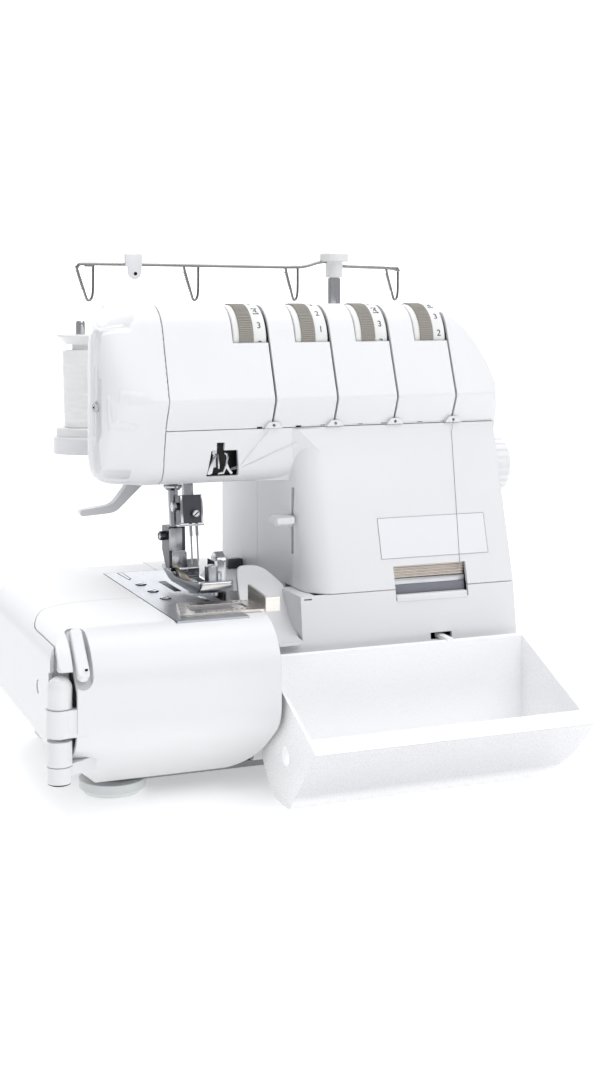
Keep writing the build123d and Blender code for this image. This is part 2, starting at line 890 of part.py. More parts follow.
def lower_looper():
    x = lower_looper_x
    z = lower_looper_z
    points = [(x - 6, z), (x + 6, z), (x + 4, z + 34), (x - 12, z + 50), (x - 50, z + 52), (x - 22, z + 40),
              (x - 6, z + 28)]
    return looper(points, [0, 0, 6, 6, 0, 0, 4], x, z, lower_looper_y)


def upper_looper():
    x = upper_looper_x
    z = upper_looper_z
    points = [(x - 5, z), (x + 6, z), (x, z + 28), (x - 16, z + 44), (x - 36, z + 48), (x - 20, z + 37),
              (x - 8, z + 20)]
    return looper(points, [0, 0, 5, 5, 0, 0, 4], x, z, upper_looper_y)


def needle_bar():
    return lean_rod(needle_x, needle_y, needle_low_z + 10, needle_top_z, needle_bar_r)


def needle_clamp():
    body = block(needle_x - 6.8, needle_x + 8.2, -5.2, 6.5, -9, 9)
    body = fillet(body.edges().filter_by(Axis.Z), 1.6)
    bore = rod_z(0, 30, needle_x, 0, needle_bar_r)
    screw = rod_y(-8.4, -5.2, needle_x + 2.6, -3, 2.2)
    side = rod_x(needle_x - 10.4, needle_x - 6.8, 0.5, 2, 2.4)
    return lean_place(body - bore + screw + side, clamp_z)


def lean_place(shape, z):
    # Puts a piece that was drawn upright about y = 0, z = 0 on the needle bar's leaning line
    return Pos(0, bar_y(needle_y, z), z) * Rot(-lean, 0, 0) * shape


def needles():
    pieces = []
    for dx in needle_dx:
        shank = rod_z(-9 - 8, -9, needle_x + dx, -1.5, shank_r)
        blade = rod_z(-9 - needle_len + 3, -9 - 8, needle_x + dx, -1.5, needle_r)
        tip = Pos(needle_x + dx, -1.5, -9 - needle_len + 1.5) * Cone(0.15, needle_r, 3)
        pieces.append(lean_place(shank + blade + tip, clamp_z))
    return pieces


def needle_link():
    # Connecting rod from the needle bar's collar up to the crank
    z0 = upper_z - 10
    y0 = bar_y(needle_y, z0)
    y1 = upper_y
    z1 = upper_z + crank_r
    collar = Pos(needle_x, y0, z0) * Rot(-lean, 0, 0) * Cylinder(needle_bar_r + 3, 8)
    collar = collar & block(0, link_x + 1.5, 0, far, 0, far)
    collar = collar - lean_rod(needle_x, needle_y, z0 - 30, z0 + 30, needle_bar_r)
    low_eye = rod_x(link_x, link_x + link_t, y0, z0, 4.5)
    high_eye = rod_x(link_x, link_x + link_t, y1, z1, 6) - rod_x(0, far, y1, z1, 3.2)
    length = sqrt((y1 - y0) ** 2 + (z1 - z0) ** 2)
    ux = (y1 - y0) / length
    uz = (z1 - z0) / length
    strip = outline([(y0 - 2.5 * uz, z0 + 2.5 * ux), (y1 - 5 * ux - 2.5 * uz, z1 - 5 * uz + 2.5 * ux),
                     (y1 - 5 * ux + 2.5 * uz, z1 - 5 * uz - 2.5 * ux), (y0 + 2.5 * uz, z0 - 2.5 * ux)],
                    [0, 0, 0, 0])
    rod = along_x(strip, link_x, link_x + link_t)
    cut = lean_rod(needle_x, needle_y, z0 - 30, z0 + 30, needle_bar_r)
    return collar + low_eye + high_eye + rod - cut


def presser_bar():
    return lean_rod(presser_x, presser_y, presser_low_z, presser_top_z, presser_bar_r)


def foot_holder():
    z0 = foot_holder_z0
    z1 = presser_low_z + 6
    points = [(124, z0), (132, z0 - 1), (141, z0 + 10), (141, z1), (126, z1), (125, z0 + 9)]
    body = along_x(outline(points, [2, 2, 2, 1, 1, 1]), presser_x - 5.5, presser_x + 5.5)
    bore = lean_rod(presser_x, presser_y, presser_low_z, presser_low_z + 40, presser_bar_r)
    screw = rod_x(presser_x - 9.5, presser_x - 5.5, 133, z1 - 6, 3)
    return body - bore + screw


def presser_foot():
    z = foot_sole_z
    side = [(toe_y, z + 8), (toe_y + 3.5, z + 2.6), (toe_y + 12, z), (122, z), (148, z + 5), (148, z + 7.5),
            (122, z + 3), (toe_y + 14, z + 3), (toe_y + 6.5, z + 5.2), (toe_y + 2.5, z + 9.2)]
    sole = along_x(outline(side, [1, 5, 10, 12, 0.6, 0.6, 12, 8, 5, 1]), foot_x0, toe_x1)
    plan = [(foot_x0, toe_y - 1), (toe_x1, toe_y - 1), (toe_x1, 91),
            (foot_x1, 95), (foot_x1, 150), (foot_x0, 150)]
    sole = sole & along_z(outline(plan, [5, 9, 2, 2, 2, 2]), z - 1, z + 20)
    opening = block(needle_x - 2.6, needle_x + 7.4, 98, 114, z - 5, z + 20)
    ear = outline([(121, z + 2), (137, z + 4), (137, z + 8), (133, z + 13), (126, z + 13), (121, z + 8)],
                  [0, 0, 1, 3, 3, 1])
    ears = along_x(ear, foot_x0 + 1, foot_x1)
    gap = block(presser_x - 5.9, presser_x + 5.9, 110, 145, foot_holder_z0 - 1.6, z + 30)
    pin = rod_x(foot_x0 + 1, foot_x1, foot_y_pin, z + 10.2, 1.5)
    return sole - opening + (ears - gap) + (pin - block(presser_x - 5.5, presser_x + 5.5, 0, far, 0, far))


def lifter_slot():
    return block(face_seam_x - 4, lifter_x + 14, lifter_y - lifter_w / 2 - 1.5, lifter_y + lifter_w / 2 + 1.5,
                 arm_z - 8, arm_z + 9)


def presser_lifter():
    # White finger lever that hangs out under the back of the head
    y0 = lifter_y - lifter_w / 2
    y1 = lifter_y + lifter_w / 2
    points = [(lifter_x + 6, lifter_z + 6), (lifter_x - 6, lifter_z + 6), (lifter_x - 10, 172), (76, 158),
              (54, 155.5), (55, 151.5), (78, 153), (lifter_x - 1, 170), (lifter_x + 6, lifter_z - 4)]
    arm = along_y(outline(points, [4, 4, 6, 10, 1.8, 1.6, 12, 8, 3]), y0, y1)
    return arm - rod_y(y0 - 1, y1 + 1, lifter_x, lifter_z, lifter_r + running)


def bush_seat(x0, y, z, r):
    ring = rod_x(x0, x0 + plate_t, y, z, r + running + bush_wall)
    return ring - rod_x(x0 - 1, x0 + plate_t + 1, y, z, r + running)


def bearing_spots():
    spots = [(x, upper_y, upper_z, shaft_r) for x in (head_plate_x, post_left_x, post_right_x)]
    spots += [(x, main_y, main_z, shaft_r) for x in (post_left_x, post_right_x)]
    spots += [(x, lower_y, lower_z, shaft_r) for x in (post_left_x, post_right_x)]
    return spots


def shaft_bushings():
    return [bush_seat(*spot) for spot in bearing_spots()]


def cast_frame():
    # Cast aluminium skeleton: sole, two posts, arm spine, head plate and looper block
    top = head_top - 16
    dial_back = dial_y + dial_r + 4
    dial_low = dial_z - dial_r - 6
    sole = block(48, post_right_x + plate_t, 72, frame_back, inner_floor, inner_floor + 6)
    posts = []
    for x in (post_left_x, post_right_x):
        posts.append(block(x, x + plate_t, frame_front, frame_back, inner_floor, dial_low))
        posts.append(block(x, x + plate_t, dial_back, frame_back, dial_low - 1, top - 4))
    spine = block(104, arm_right_x + frame_arm_t, frame_back - 8, frame_back, arm_z + 10, top - 4)
    head = block(head_plate_x, head_plate_x + plate_t, 138, frame_back, arm_z + 10, top)
    low_guide = block(94, head_plate_x + 2, needle_y - 10, 152, arm_z + 8, arm_z + 16)
    low_tie = block(head_plate_x - 2, head_plate_x + plate_t, 130, 152, arm_z + 8, arm_z + 16)
    top_guide = block(94, head_plate_x + 2, needle_y - 2, 158, upper_z + crank_r + 8.5, top - 4)
    arm_left = block(head_plate_x, head_plate_x + frame_arm_t, dial_y - 7, 142, dial_z - 7, dial_z + 6)
    arm_right = block(arm_right_x, arm_right_x + frame_arm_t, dial_y - 7, frame_back, dial_z - 7, dial_z + 4)
    loopers = block(128, 178, looper_block_y0, looper_block_y1, inner_floor, 64)
    feed_rest = block(102, 130, looper_block_y0, 142, inner_floor, bed_z - feed_depth - 0.3)
    knife_post = block(knife_x + knife_t + 8, knife_x + knife_t + 16, 140, looper_block_y1, 60, bed_z - 3.5)
    lifter_boss = block(lifter_x - 5, head_plate_x + 2, 186, 196, arm_z + wall + clearance, lifter_z + 12)
    frame = sole + posts + spine + head + low_guide + low_tie + top_guide + arm_left + arm_right
    frame = frame + loopers + feed_rest + knife_post + lifter_boss
    for x, y, z, r in bearing_spots():
        frame = frame - rod_x(x - 1, x + plate_t + 1, y, z, r + running + bush_wall)
    frame = frame - lean_rod(needle_x, needle_y, 150, 300, needle_bar_r + running)
    frame = frame - lean_rod(presser_x, presser_y, 150, 300, presser_bar_r + running)
    frame = frame - rod_x(head_plate_x - 1, far, dial_y, dial_z, spindle_r)
    frame = frame - rod_x(post_right_x - 1, post_right_x + plate_t + 1, motor_y, motor_z, 9)
    for x, z in ((lower_looper_x, lower_looper_z), (upper_looper_x, upper_looper_z)):
        frame = frame - rod_y(looper_block_y0 - 1, looper_block_y1 + 1, x, z, looper_pin_r + running)
    stud = rod_x(knife_x + knife_t - 0.5, knife_x + knife_t + 10, knife_pivot_y, knife_pivot_z, knife_pivot_r)
    lifter_pin = rod_y(lifter_y - lifter_w / 2 - 4, 192, lifter_x, lifter_z, lifter_r)
    return frame + stud + lifter_pin


def pulley(x0, y, z, r):
    return rod_x(x0, x0 + belt_w, y, z, r) - rod_x(x0 - 1, x0 + belt_w + 1, y, z, shaft_r)


def main_shaft():
    shaft = rod_x(post_left_x - 4, body_width + wheel_w - 4, main_y, main_z, shaft_r)
    upper = pulley(upper_belt_x, main_y, main_z, timing_r)
    lower = pulley(lower_belt_x, main_y, main_z, timing_r)
    return [shaft, upper, lower, pulley(motor_belt_x, main_y, main_z, big_pulley_r)]


def handwheel():
    x0 = wheel_x
    x1 = body_width + wheel_w + 2
    wheel = rod_x(x0, x1, main_y, main_z, wheel_r)
    wheel = fillet(wheel.edges().filter_by(GeomType.CIRCLE), wheel_edge_r)
    dish = rod_x(x1 - 3, x1 + 1, main_y, main_z, wheel_r - wheel_dish_in)
    dish = dish - rod_x(x1 - 8, x1 + 2, main_y, main_z, wheel_hub_r)
    for index in range(wheel_ribs):
        angle = 360 / wheel_ribs * index
        y = main_y + (wheel_r + 0.9) * cos(radians(angle))
        z = main_z + (wheel_r + 0.9) * sin(radians(angle))
        wheel = wheel - rod_x(x0 - 1, x1 + 1, y, z, wheel_groove_r)
    return wheel - dish - rod_x(x0 - 1, body_width + wheel_w - 4, main_y, main_z, shaft_r)


def upper_shaft():
    shaft = rod_x(head_plate_x - 0.5, post_right_x + plate_t + 4, upper_y, upper_z, shaft_r)
    crank = rod_x(link_x + link_t + 0.8, head_plate_x - 0.5, upper_y, upper_z, crank_r + 6)
    pin = rod_x(link_x + link_t + 0.4, link_x + link_t + 0.8, upper_y, upper_z + crank_r, 3)
    return [shaft + crank + pin, pulley(upper_belt_x, upper_y, upper_z, timing_r)]


def lower_shaft():
    shaft = rod_x(post_left_x - 4, post_right_x + plate_t + 4, lower_y, lower_z, shaft_r)
    return [shaft, pulley(lower_belt_x, lower_y, lower_z, timing_r)]


def motor_shaft():
    shaft = rod_x(post_right_x - 2, motor_belt_x + belt_w + 2, motor_y, motor_z, 4)
    drive = rod_x(motor_belt_x, motor_belt_x + belt_w, motor_y, motor_z, motor_pulley_r)
    return shaft + drive


def motor():
    body = rod_x(post_left_x + plate_t + motor_gap, post_right_x, motor_y, motor_z, motor_r)
    body = fillet(body.edges().filter_by(GeomType.CIRCLE).sort_by(Axis.X)[0], 4)
    return body - rod_x(post_right_x - 2.5, post_right_x + 1, motor_y, motor_z, 5)


def belt(x0, y0, z0, r0, y1, z1, r1):
    # Endless belt: the hull of two circles less the hull of the pulleys
    def band(grow):
        rings = [Pos(y0, z0) * Circle(r0 + grow), Pos(y1, z1) * Circle(r1 + grow)]
        return make_hull(rings[0].edges() + rings[1].edges())
    loop = band(0.3 + belt_t) - band(0.3)
    return along_x(loop, x0 + 0.5, x0 + belt_w - 0.5)


def upper_belt():
    return belt(upper_belt_x, main_y, main_z, timing_r, upper_y, upper_z, timing_r)


def lower_belt():
    return belt(lower_belt_x, main_y, main_z, timing_r, lower_y, lower_z, timing_r)


def motor_belt():
    return belt(motor_belt_x, main_y, main_z, big_pulley_r, motor_y, motor_z, motor_pulley_r)


def tension_spindle():
    spindle = rod_x(head_plate_x, arm_right_x + frame_arm_t, dial_y, dial_z, spindle_r)
    return [spindle] + tension_discs()


def tension_dial(index):
    # White flange, knurled ring and number ring in one moulding, turning on the spindle
    x0 = dial_x0 + index * dial_pitch
    flange = rod_x(x0, x0 + dial_flange, dial_y, dial_z, dial_r - 1)
    grip = rod_x(x0 + dial_flange, x0 + dial_w - dial_ring, dial_y, dial_z, dial_r)
    ring = rod_x(x0 + dial_w - dial_ring, x0 + dial_w, dial_y, dial_z, dial_r - 0.8)
    return flange + grip + ring - rod_x(x0 - 1, x0 + dial_w + 1, dial_y, dial_z, spindle_r + running)


def tension_discs():
    discs = []
    for index in range(dial_count):
        x0 = dial_x0 + index * dial_pitch + dial_w + slot_gap
        for place in (x0, x0 + disc_t + disc_gap):
            disc = rod_x(place, place + disc_t, dial_y, dial_z, disc_r)
            discs.append(disc - rod_x(place - 1, place + disc_t + 1, dial_y, dial_z, spindle_r))
    return discs


def guide_eye_places():
    first = dial_x0 + dial_w + slot_gap + slot_lean + slot_w / 2
    return [first + index * dial_pitch for index in range(dial_count)]


def guide_lugs():
    lugs = []
    z = cover_seam_z + seam / 2
    for x in guide_eye_places():
        lug = outline([(x - guide_w / 2, z), (x + guide_w / 2, z), (x + guide_w / 4, z + guide_h),
                       (x - guide_w / 4, z + guide_h)], [0.3, 0.3, 2, 2])
        lugs.append(along_y(lug, cover_seam_y - guide_proud, cover_seam_y + 0.4))
    return lugs


def thread_guides():
    # Small white eyelets let into the seam at the foot of each thread slot
    eyes = [rod_y(70, 90, x, cover_seam_z + guide_h / 2, guide_eye_r) for x in guide_eye_places()]
    return [lug - eye for lug, eye in zip(guide_lugs(), eyes)]


def take_up_pocket():
    # Black box behind the window, closed at the back, its rim on the inside of the front cover
    x0 = take_up_x - pocket_half
    x1 = take_up_x + pocket_half
    z0 = window_z0 - 3
    z1 = window_z1 + 7
    box = block(x0, x1, 70, 100.5, z0, z1) - block(x0 + 1.2, x1 - 1.2, 60, pocket_back_y, z0 + 1.2, z1 - 1.2)
    return box & head_form(wall)


def take_up_lever():
    x = take_up_x - 4
    points = [(x - 1.5, 188), (x + 1.5, 188), (x + 2, 200), (x + 4.5, 203), (x + 2, 204.5), (x - 1, 200)]
    hook = along_y(outline(points, [0.5, 0.5, 2, 0.5, 0.8, 2]), 95.0, 96.4)
    return hook + rod_y(95.0, pocket_back_y - 0.2, x, 190.5, take_up_pivot_r)


def column_lever():
    x = column_x
    tab = outline([(x - 13, lever_z - 3), (x - 2, lever_z - 3.4), (x + 12, lever_z - 3.4),
                   (x + 12, lever_z + 3.4), (x - 2, lever_z + 3.4), (x - 13, lever_z + 2.4)],
                  [1, 0, 0, 0, 0, 1.5])
    blade = along_y(tab, lever_y - lever_t / 2, lever_y + lever_t / 2)
    thumb = block(x - 14, x - 1.2, lever_y - 9, lever_y + 8, lever_z - 0.6, lever_z + 3.4)
    thumb = fillet(thumb.edges().filter_by(Axis.Z), 2)
    keeper = block(x + wall + 2.5, x + 12, lever_y - 2.4, lever_y + 6, lever_z - 3.4, lever_z + 3.4)
    return blade + thumb + keeper


def looper_guide():
    # Ridged metal strip behind the finger recess
    y0 = looper_seam_y + 6
    x0 = guide_x0 + 0.3
    x1 = guide_x1 - 0.3
    strip = block(x0, x1, y0, y0 + 3, looper_seam_z + 1, guide_top_z - 0.3)
    strip = strip + block(x0, x1, y0 + 1.5, y0 + 3, guide_low_z - 4, looper_seam_z + 2)
    ridge = (guide_top_z - looper_seam_z - 3) / 6
    for index in range(6):
        z = looper_seam_z + 2 + ridge * (index + 0.5)
        strip = strip + rod_x(x0, x1, y0, z, ridge * 0.36)
    return strip


def stitch_dial():
    knob = rod_x(body_width + 0.6, body_width + 11, stitch_y, stitch_z, stitch_r)
    knob = fillet(knob.edges().filter_by(GeomType.CIRCLE).sort_by(Axis.X)[-1], 2)
    reach = stitch_r - 3
    x = body_width
    bar = block(x + 10, x + 13, stitch_y - 3, stitch_y + 3, stitch_z - reach, stitch_z + reach)
    return knob + bar + rod_x(x - 8, x + 1, stitch_y, stitch_z, 4.4)


def power_switch():
    half_w = switch_w / 2 - 0.5
    half_h = switch_h / 2 - 1.8
    back = body_width - switch_axis_in - 2.4
    crest = body_width + 1.6
    profile = outline([(back, switch_z - half_h), (crest, switch_z - half_h), (body_width + 0.4, switch_z),
                       (crest, switch_z + half_h), (back, switch_z + half_h)], [1, 0.5, 3, 0.5, 1])
    stubs = rod_y(switch_y - switch_w / 2 + running, switch_y + switch_w / 2 - running,
                  body_width - switch_axis_in, switch_z, switch_stub_r)
    return along_y(profile, switch_y - half_w, switch_y + half_w) + stubs


def power_inlet():
    x0 = body_width - 11
    cup = block(x0, body_width + 0.8, switch_y - inlet_w / 2 + 0.2, switch_y + inlet_w / 2 - 0.2,
                inlet_z - inlet_h / 2 + 0.2, inlet_z + inlet_h / 2 - 0.2)
    hollow = block(x0 + 2, body_width + 2, switch_y - inlet_w / 2 + 3, switch_y + inlet_w / 2 - 3,
                   inlet_z - inlet_h / 2 + 3, inlet_z + inlet_h / 2 - 3)
    pieces = cup - hollow
    for side in (-1, 1):
        pieces = pieces + rod_x(x0 + 1, body_width - 3, switch_y + side * 5, inlet_z, 1.5)
    return pieces


def stand_plate():
    right = pin_x0 + pin_pitch * (pin_count - 1) + stand_half
    points = [(stand_left, stand_y - stand_half), (right, stand_y - stand_half),
              (right, stand_y + stand_half), (stand_left, stand_y + stand_half)]
    corner = stand_half - 0.5
    plate = along_z(outline(points, [corner, corner, corner, corner]), stand_z, stand_z + stand_t)
    plate = fillet(plate.edges().group_by(Axis.Z)[-1], 2)
    bracket = block(column_x + 20, body_width - body_corner, body_back, stand_y - stand_half + 1,
                    stand_z, stand_z + stand_t - 3)
    boss = rod_z(pole_foot_z, stand_z + 1, pole_x, stand_y, pole_r + 4)
    socket = rod_z(pole_foot_z + 3, far, pole_x, stand_y, pole_r)
    return plate + bracket + boss - socket


def pin_places():
    return [pin_x0 + pin_pitch * index for index in range(pin_count)]


def spool_pins():
    z0 = stand_z + stand_t
    pins = []
    for x in pin_places():
        disc = rod_z(z0, z0 + holder_h, x, stand_y, holder_r)
        disc = fillet(disc.edges().group_by(Axis.Z)[-1], 1.5)
        pin = rod_z(z0 + holder_h, pin_top_z, x, stand_y, pin_r)
        pins.append(disc + fillet(pin.edges().group_by(Axis.Z)[-1], 1.5))
    return pins


def thread_spools():
    z0 = stand_z + stand_t + holder_h
    spools = []
    for x in pin_places():
        package = Pos(x, stand_y, z0 + spool_h / 2) * Cone(spool_r - 1.6, spool_r, spool_h)
        spools.append(package - rod_z(z0 - 1, z0 + spool_h + 1, x, stand_y, pin_r + 0.3))
    return spools


def spool_caps():
    z0 = cap_z0
    caps = []
    for x in pin_places():
        flare_h = cap_h - cap_rim
        flare = Pos(x, stand_y, z0 + flare_h / 2) * Cone(cap_foot_r, cap_r - 1, flare_h)
        disc = flare + rod_z(z0 + flare_h, z0 + cap_h, x, stand_y, cap_r)
        sleeve = rod_z(z0 - cap_gap, z0 + 1, x, stand_y, pin_r + 2.6)
        caps.append(disc + sleeve - rod_z(z0 - 5, z0 + cap_h + 1, x, stand_y, pin_r))
    return caps


def pole_tube():
    tube = rod_z(pole_foot_z + 3, pole_top_z, pole_x, stand_y, pole_r)
    return tube - rod_z(pole_foot_z + 2, far, pole_x, stand_y, rod_r + running)


def pole_rod():
    # Telescopic inner rod with its white collar and cap
    rod = rod_z(pole_foot_z + 10, bar_z - 8, pole_x, stand_y, rod_r)
    collar = rod_z(bar_z - 8, bar_z + 4, pole_x, stand_y, 6.6)
    cap = rod_z(bar_z + 4, bar_z + 10.6, pole_x, stand_y, 11)
    cap = fillet(cap.edges().filter_by(GeomType.CIRCLE).sort_by(Axis.Z)[-1], 1.5)
    return rod + collar + cap


def wire(points, radii):
    path = FilletPolyline(*points, radius=radii)
    profile = Plane(path @ 0, z_dir=path % 0) * Circle(wire_r)
    return sweep(profile, path=path)


def guide_bar():
    # Two wires from the collar, with a hanging wire eye over each spool
    z = bar_z
    y = stand_y
    rise = z + 2.6
    path = [(hook_x[0] - hook_w, y, z), (pole_x - 22, y, z), (pole_x - 11, y, rise), (pole_x - 6, y, rise)]
    left = wire(path, [8, 2])
    right = rod_x(pole_x + 6, hook_x[3] + hook_w, y, z - 2, wire_r)
    bar = left + right
    for index, x in enumerate(hook_x):
        top = z - 2 * (index == 3)
        low = top - hook_drop
        points = [(x - hook_w, y, top), (x - hook_w + 1, y, low + 4), (x, y, low - 1.5),
                  (x + hook_w - 1, y, low + 4), (x + hook_w, y, top - 4)]
        bar = bar + wire(points, [3, 2, 3])
    bar = bar - rod_z(z - 20, z + 20, pole_x, y, 6.6)
    return bar


def bar_clip():
    x = 115.0
    points = [(x - 6, bar_z - 4), (x + 6, bar_z - 9), (x + 6, bar_z + 8), (x - 6, bar_z + 8)]
    body = along_y(outline(points, [2, 3, 3, 3]), stand_y - 3.5, stand_y + 3.5)
    body = body - rod_x(x - 10, x + 10, stand_y, bar_z, wire_r)
    return body - rod_y(stand_y - 5, stand_y + 5, x + 2, bar_z - 4.6, 1.6)


def cover_screws():
    # Countersunk screws of the needle plate and pan-head screws of the covers
    screws = []
    for x, y in plate_screws:
        screws.append(rod_z(bed_z, bed_z + 0.8, x, y, 3.0))
    screws.append(face_screw(3.0, 0.3))
    screws.append(rod_x(2 - screw_h, 2, 42, 74, 3.4))
    return screws


def build():
    shell = body_shell()
    nodes = {
        "base_pan": base_pan(),
        "rubber_feet": rubber_feet(),
        "side_cover": side_cover(),
        "bed_cover": bed_cover(shell),
        "rear_cover": rear_cover(shell),
        "front_cover": front_cover(shell),
        "face_cover": face_cover(shell),
        "tension_cover": tension_cover(shell),
        "looper_cover": looper_cover(shell) + chute_sheet(),
        "cloth_plate_door": cloth_plate_door(),
        "inlay_plate": inlay_plate(),
        "seam_guide": seam_guide(),
        "hinge_pin": hinge_pin(),
        "release_button": release_button(),
        "waste_tray": waste_tray(),
        "needle_plate": needle_plate(),
        "feed_dog": feed_dog(),
        "lower_knife": lower_knife(),
        "upper_knife": upper_knife(),
        "lower_looper": lower_looper(),
        "upper_looper": upper_looper(),
        "needle_bar": needle_bar(),
        "needle_clamp": needle_clamp(),
        "needles": needles(),
        "needle_link": needle_link(),
        "presser_bar": presser_bar(),
        "foot_holder": foot_holder(),
        "presser_foot": presser_foot(),
        "presser_lifter": presser_lifter(),
        "cast_frame": cast_frame(),
        "shaft_bushings": shaft_bushings(),
        "main_shaft": main_shaft(),
        "handwheel": handwheel(),
        "upper_shaft": upper_shaft(),
        "lower_shaft": lower_shaft(),
        "motor": motor(),
        "motor_shaft": motor_shaft(),
        "timing_belts": [upper_belt(), lower_belt()],
        "motor_belt": motor_belt(),
        "tension_spindle": tension_spindle(),
        "thread_guides": thread_guides(),
        "take_up_pocket": take_up_pocket(),
        "take_up_lever": take_up_lever(),
        "column_lever": column_lever(),
        "looper_guide": looper_guide(),
        "stitch_dial": stitch_dial(),
        "power_switch": power_switch(),
        "power_inlet": power_inlet(),
        "stand_plate": stand_plate(),
        "spool_pins": spool_pins(),
        "thread_spools": thread_spools(),
        "spool_caps": spool_caps(),
        "pole_tube": pole_tube(),
        "pole_rod": pole_rod(),
        "guide_bar": [guide_bar(), bar_clip()],
        "cover_screws": cover_screws(),
    }
    for index in range(dial_count):
        nodes[f"tension_dial_{index + 1}"] = tension_dial(index)
    return nodes


def solids_of(shape):
    pieces = shape if isinstance(shape, list) else [shape]
    return [solid for piece in pieces for solid in piece.solids()]


os.makedirs("parts", exist_ok=True)
nodes = {name: solids_of(shape) for name, shape in build().items()}
whole = Compound([solid for solids in nodes.values() for solid in solids]).bounding_box()
shift = Pos(-(whole.min.X + whole.max.X) / 2, -(whole.min.Y + whole.max.Y) / 2, -whole.min.Z)
for name, solids in nodes.items():
    print(name, len(solids))
    export_step(Compound([shift * solid for solid in solids]), f"parts/{name}.step")
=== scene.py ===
import math

import bpy
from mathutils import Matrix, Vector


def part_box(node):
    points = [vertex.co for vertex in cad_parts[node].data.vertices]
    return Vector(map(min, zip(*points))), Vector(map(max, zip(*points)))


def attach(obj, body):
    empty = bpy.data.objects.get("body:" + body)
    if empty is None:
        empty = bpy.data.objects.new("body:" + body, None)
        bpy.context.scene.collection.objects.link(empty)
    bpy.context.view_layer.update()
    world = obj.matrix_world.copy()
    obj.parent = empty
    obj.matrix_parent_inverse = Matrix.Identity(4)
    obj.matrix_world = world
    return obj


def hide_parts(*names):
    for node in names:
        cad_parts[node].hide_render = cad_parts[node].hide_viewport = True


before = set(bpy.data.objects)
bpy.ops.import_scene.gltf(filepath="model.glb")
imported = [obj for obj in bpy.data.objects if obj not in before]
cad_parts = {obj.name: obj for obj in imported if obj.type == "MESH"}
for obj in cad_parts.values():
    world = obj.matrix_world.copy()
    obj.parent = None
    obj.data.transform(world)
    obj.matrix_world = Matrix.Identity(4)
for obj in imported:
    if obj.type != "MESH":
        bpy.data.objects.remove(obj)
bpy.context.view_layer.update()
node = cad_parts
bpy.ops.object.select_all(action="DESELECT")

# Inner castings: the aluminium skeleton and the grey base pan it stands in.
# Cast metal has a fine granular skin; the pan is painted sheet steel.
# The pan is screwed up into the casting's sole.
noise_low = 0.3
noise_high = 0.7
smoother = 0.88
rougher = 1.12


def new_finish(name, color, roughness, metallic=0.0):
    finish = bpy.data.materials.new(name)
    finish.use_nodes = True
    shader = finish.node_tree.nodes["Principled BSDF"]
    shader.inputs["Base Color"].default_value = (*color, 1)
    shader.inputs["Roughness"].default_value = roughness
    shader.inputs["Metallic"].default_value = metallic
    return finish, shader


def noise_on(finish, scale, stretch=(1, 1, 1), detail=3.0):
    nodes = finish.node_tree.nodes
    links = finish.node_tree.links
    place = nodes.new("ShaderNodeTexCoord")
    mapping = nodes.new("ShaderNodeMapping")
    mapping.inputs["Scale"].default_value = stretch
    noise = nodes.new("ShaderNodeTexNoise")
    noise.inputs["Scale"].default_value = scale
    noise.inputs["Detail"].default_value = detail
    links.new(place.outputs["Object"], mapping.inputs["Vector"])
    links.new(mapping.outputs["Vector"], noise.inputs["Vector"])
    return noise.outputs["Fac"]


def spread(finish, value, low, high):
    ranged = finish.node_tree.nodes.new("ShaderNodeMapRange")
    ranged.inputs["From Min"].default_value = noise_low
    ranged.inputs["From Max"].default_value = noise_high
    ranged.inputs["To Min"].default_value = low
    ranged.inputs["To Max"].default_value = high
    finish.node_tree.links.new(value, ranged.inputs["Value"])
    return ranged.outputs["Result"]


def tint(finish, value, dark, light):
    ramp = finish.node_tree.nodes.new("ShaderNodeValToRGB")
    ramp.color_ramp.elements[0].position = noise_low
    ramp.color_ramp.elements[0].color = (*dark, 1)
    ramp.color_ramp.elements[1].position = noise_high
    ramp.color_ramp.elements[1].color = (*light, 1)
    finish.node_tree.links.new(value, ramp.inputs["Fac"])
    return ramp.outputs["Color"]


def bump(finish, shader, height, depth, soft_edge=0.0):
    nodes = finish.node_tree.nodes
    links = finish.node_tree.links
    relief = nodes.new("ShaderNodeBump")
    relief.inputs["Strength"].default_value = 1.0
    relief.inputs["Distance"].default_value = depth
    links.new(height, relief.inputs["Height"])
    if soft_edge:
        edge = nodes.new("ShaderNodeBevel")
        edge.samples = 4
        edge.inputs["Radius"].default_value = soft_edge
        links.new(edge.outputs["Normal"], relief.inputs["Normal"])
    links.new(relief.outputs["Normal"], shader.inputs["Normal"])


def moulded(name, color, roughness, grain=1400, depth=0.00001, soft_edge=0.0006):
    finish, shader = new_finish(name, color, roughness)
    links = finish.node_tree.links
    cloud = noise_on(finish, 9.0)
    dark = [channel * 0.965 for channel in color]
    links.new(tint(finish, cloud, dark, color), shader.inputs["Base Color"])
    fine = noise_on(finish, grain, detail=2.0)
    links.new(spread(finish, fine, roughness * smoother, roughness * rougher), shader.inputs["Roughness"])
    bump(finish, shader, fine, depth, soft_edge)
    shader.inputs["IOR"].default_value = 1.49
    return finish


def metal(name, color, roughness, stretch=(1, 1, 1), scale=600, depth=0.000004, soft_edge=0.0003):
    finish, shader = new_finish(name, color, roughness, 1.0)
    links = finish.node_tree.links
    lines = noise_on(finish, scale, stretch, detail=4.0)
    cloud = noise_on(finish, 40.0)
    dark = [channel * 0.9 for channel in color]
    links.new(tint(finish, cloud, dark, color), shader.inputs["Base Color"])
    links.new(spread(finish, lines, roughness * smoother, roughness * rougher), shader.inputs["Roughness"])
    bump(finish, shader, lines, depth, soft_edge)
    return finish


def dress(finish, *names):
    for name in names:
        slots = node[name].data.materials
        slots.clear()
        slots.append(finish)


